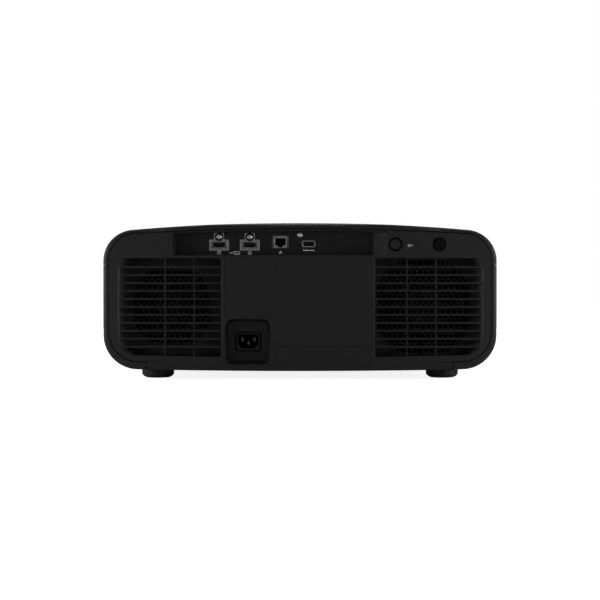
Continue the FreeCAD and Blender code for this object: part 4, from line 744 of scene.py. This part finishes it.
# service symbol under the small port: a row of plain blocks
usb = centre_of("usb_port")
blocks = [(i * 1.9, 0, 1.5, 0.9) for i in range(-3, 4)]
marks("service_symbol", usb.x, mark_z + 2.9 * MM, plate_y, blocks)

# standby symbol beside the power button
button = centre_of("power_button")
marks(
    "standby_symbol",
    button.x - 17.1 * MM,
    button.z - 1.3 * MM,
    panel_y,
    bars=[(-1.7, 0.8, 0.4, 1.3), (0.2, 0, 0.35, 2.4), (1.9, 0, 0.4, 2.4)],
    arcs=[(-1.7, -0.1, 1.25, 0.9, 125, 415)],
)


# ================================================================ studio and camera
def studio_floor():
    """Plain white floor. It glows a little as the camera sees it, and only reflects as light."""
    n = Nodes("studio_floor")
    n.join(n.blend(n.noise(1.5), (0.86, 0.86, 0.86), (0.88, 0.88, 0.88)), n.shader.inputs["Base Color"])
    seen = n.add("ShaderNodeLightPath").outputs["Is Camera Ray"]
    n.join(n.spread(seen, 0.0, 0.87, 0.0, 1.0), n.shader.inputs["Emission Strength"])
    n.set(Roughness=0.9, Specular_IOR_Level=0.1, Emission_Color=(1, 1, 1, 1))
    mesh = bpy.data.meshes.new("floor")
    reach = 30.0  # half the floor's side
    corners = [(-reach, -reach, 0), (reach, -reach, 0), (reach, reach, 0), (-reach, reach, 0)]
    mesh.from_pydata(corners, [], [(0, 1, 2, 3)])
    mesh.materials.append(n.material)
    obj = bpy.data.objects.new("floor", mesh)
    bpy.context.scene.collection.objects.link(obj)


def skylight(strength, angle):
    """Wide, weak light from above that keeps the floor white to the horizon."""
    light = bpy.data.lights.new("skylight", "SUN")
    light.energy = strength
    light.angle = math.radians(angle)
    obj = bpy.data.objects.new("skylight", light)
    bpy.context.scene.collection.objects.link(obj)
    obj.location = (0, 0, 5)  # only its direction counts: straight down


def softbox(name, place, target, width, height, power):
    """Rectangular studio light, aimed at the target and unseen by the camera."""
    light = bpy.data.lights.new(name, "AREA")
    light.shape = "RECTANGLE"
    light.size = width
    light.size_y = height
    light.energy = power
    obj = bpy.data.objects.new(name, light)
    bpy.context.scene.collection.objects.link(obj)
    obj.location = place
    obj.visible_camera = False
    aim = Vector(target) - Vector(place)
    obj.rotation_euler = aim.to_track_quat("-Z", "Y").to_euler()


def backdrop(glow, ambient):
    """White surround as the camera sees it, and a dimmer one as light."""
    world = bpy.data.worlds.new("studio")
    bpy.context.scene.world = world
    world.use_nodes = True
    tree = world.node_tree
    shown = tree.nodes["Background"]
    shown.inputs["Strength"].default_value = glow
    shown.inputs["Color"].default_value = (1, 1, 1, 1)
    dim = tree.nodes.new("ShaderNodeBackground")
    dim.inputs["Strength"].default_value = ambient
    path = tree.nodes.new("ShaderNodeLightPath")
    mix = tree.nodes.new("ShaderNodeMixShader")
    tree.links.new(path.outputs["Is Camera Ray"], mix.inputs["Fac"])
    tree.links.new(dim.outputs["Background"], mix.inputs[1])
    tree.links.new(shown.outputs["Background"], mix.inputs[2])
    tree.links.new(mix.outputs["Shader"], tree.nodes["World Output"].inputs["Surface"])


studio_floor()
backdrop(1.0, 0.012)
skylight(0.7, 60)
middle = (0, 0, 0.09)
rear_middle = (0, 0.24, 0.09)
softbox("overhead", (0, 0.1, 2.4), middle, 3.0, 3.0, 5)
softbox("rear_left", (1.0, 1.2, 0.3), rear_middle, 0.6, 0.5, 1.9)
softbox("rear_right", (-1.0, 1.2, 0.3), rear_middle, 0.6, 0.5, 2.3)
softbox("rear_fill", (0, 2.4, 0.45), rear_middle, 0.9, 0.5, 0.3)
softbox("edge_left", (0.75, 0.43, 0.2), rear_middle, 0.3, 0.3, 2.6)
softbox("edge_right", (-0.75, 0.43, 0.2), rear_middle, 0.3, 0.3, 2.5)
softbox("front_left", (-1.5, -1.7, 2.3), middle, 1.2, 1.2, 7)
softbox("front_right", (1.5, -1.7, 2.3), middle, 1.2, 1.2, 7)
softbox("front_fill", (0, -2.4, 0.7), middle, 1.4, 0.8, 12)

view_distance = 1.5  # from the rear face
view_width = 0.6897  # what the camera covers at the rear face
view_height = 0.0918  # of the camera above the floor
camera = bpy.data.cameras.new("camera")
camera.sensor_width = 36.0
camera.lens = camera.sensor_width * view_distance / view_width
camera.clip_end = 200.0
eye = bpy.data.objects.new("camera", camera)
bpy.context.scene.collection.objects.link(eye)
eye.location = (0, panel_y + view_distance, view_height)
eye.rotation_euler = (math.pi / 2, 0, math.pi)
bpy.context.scene.camera = eye
bpy.context.scene.view_settings.view_transform = "Standard"
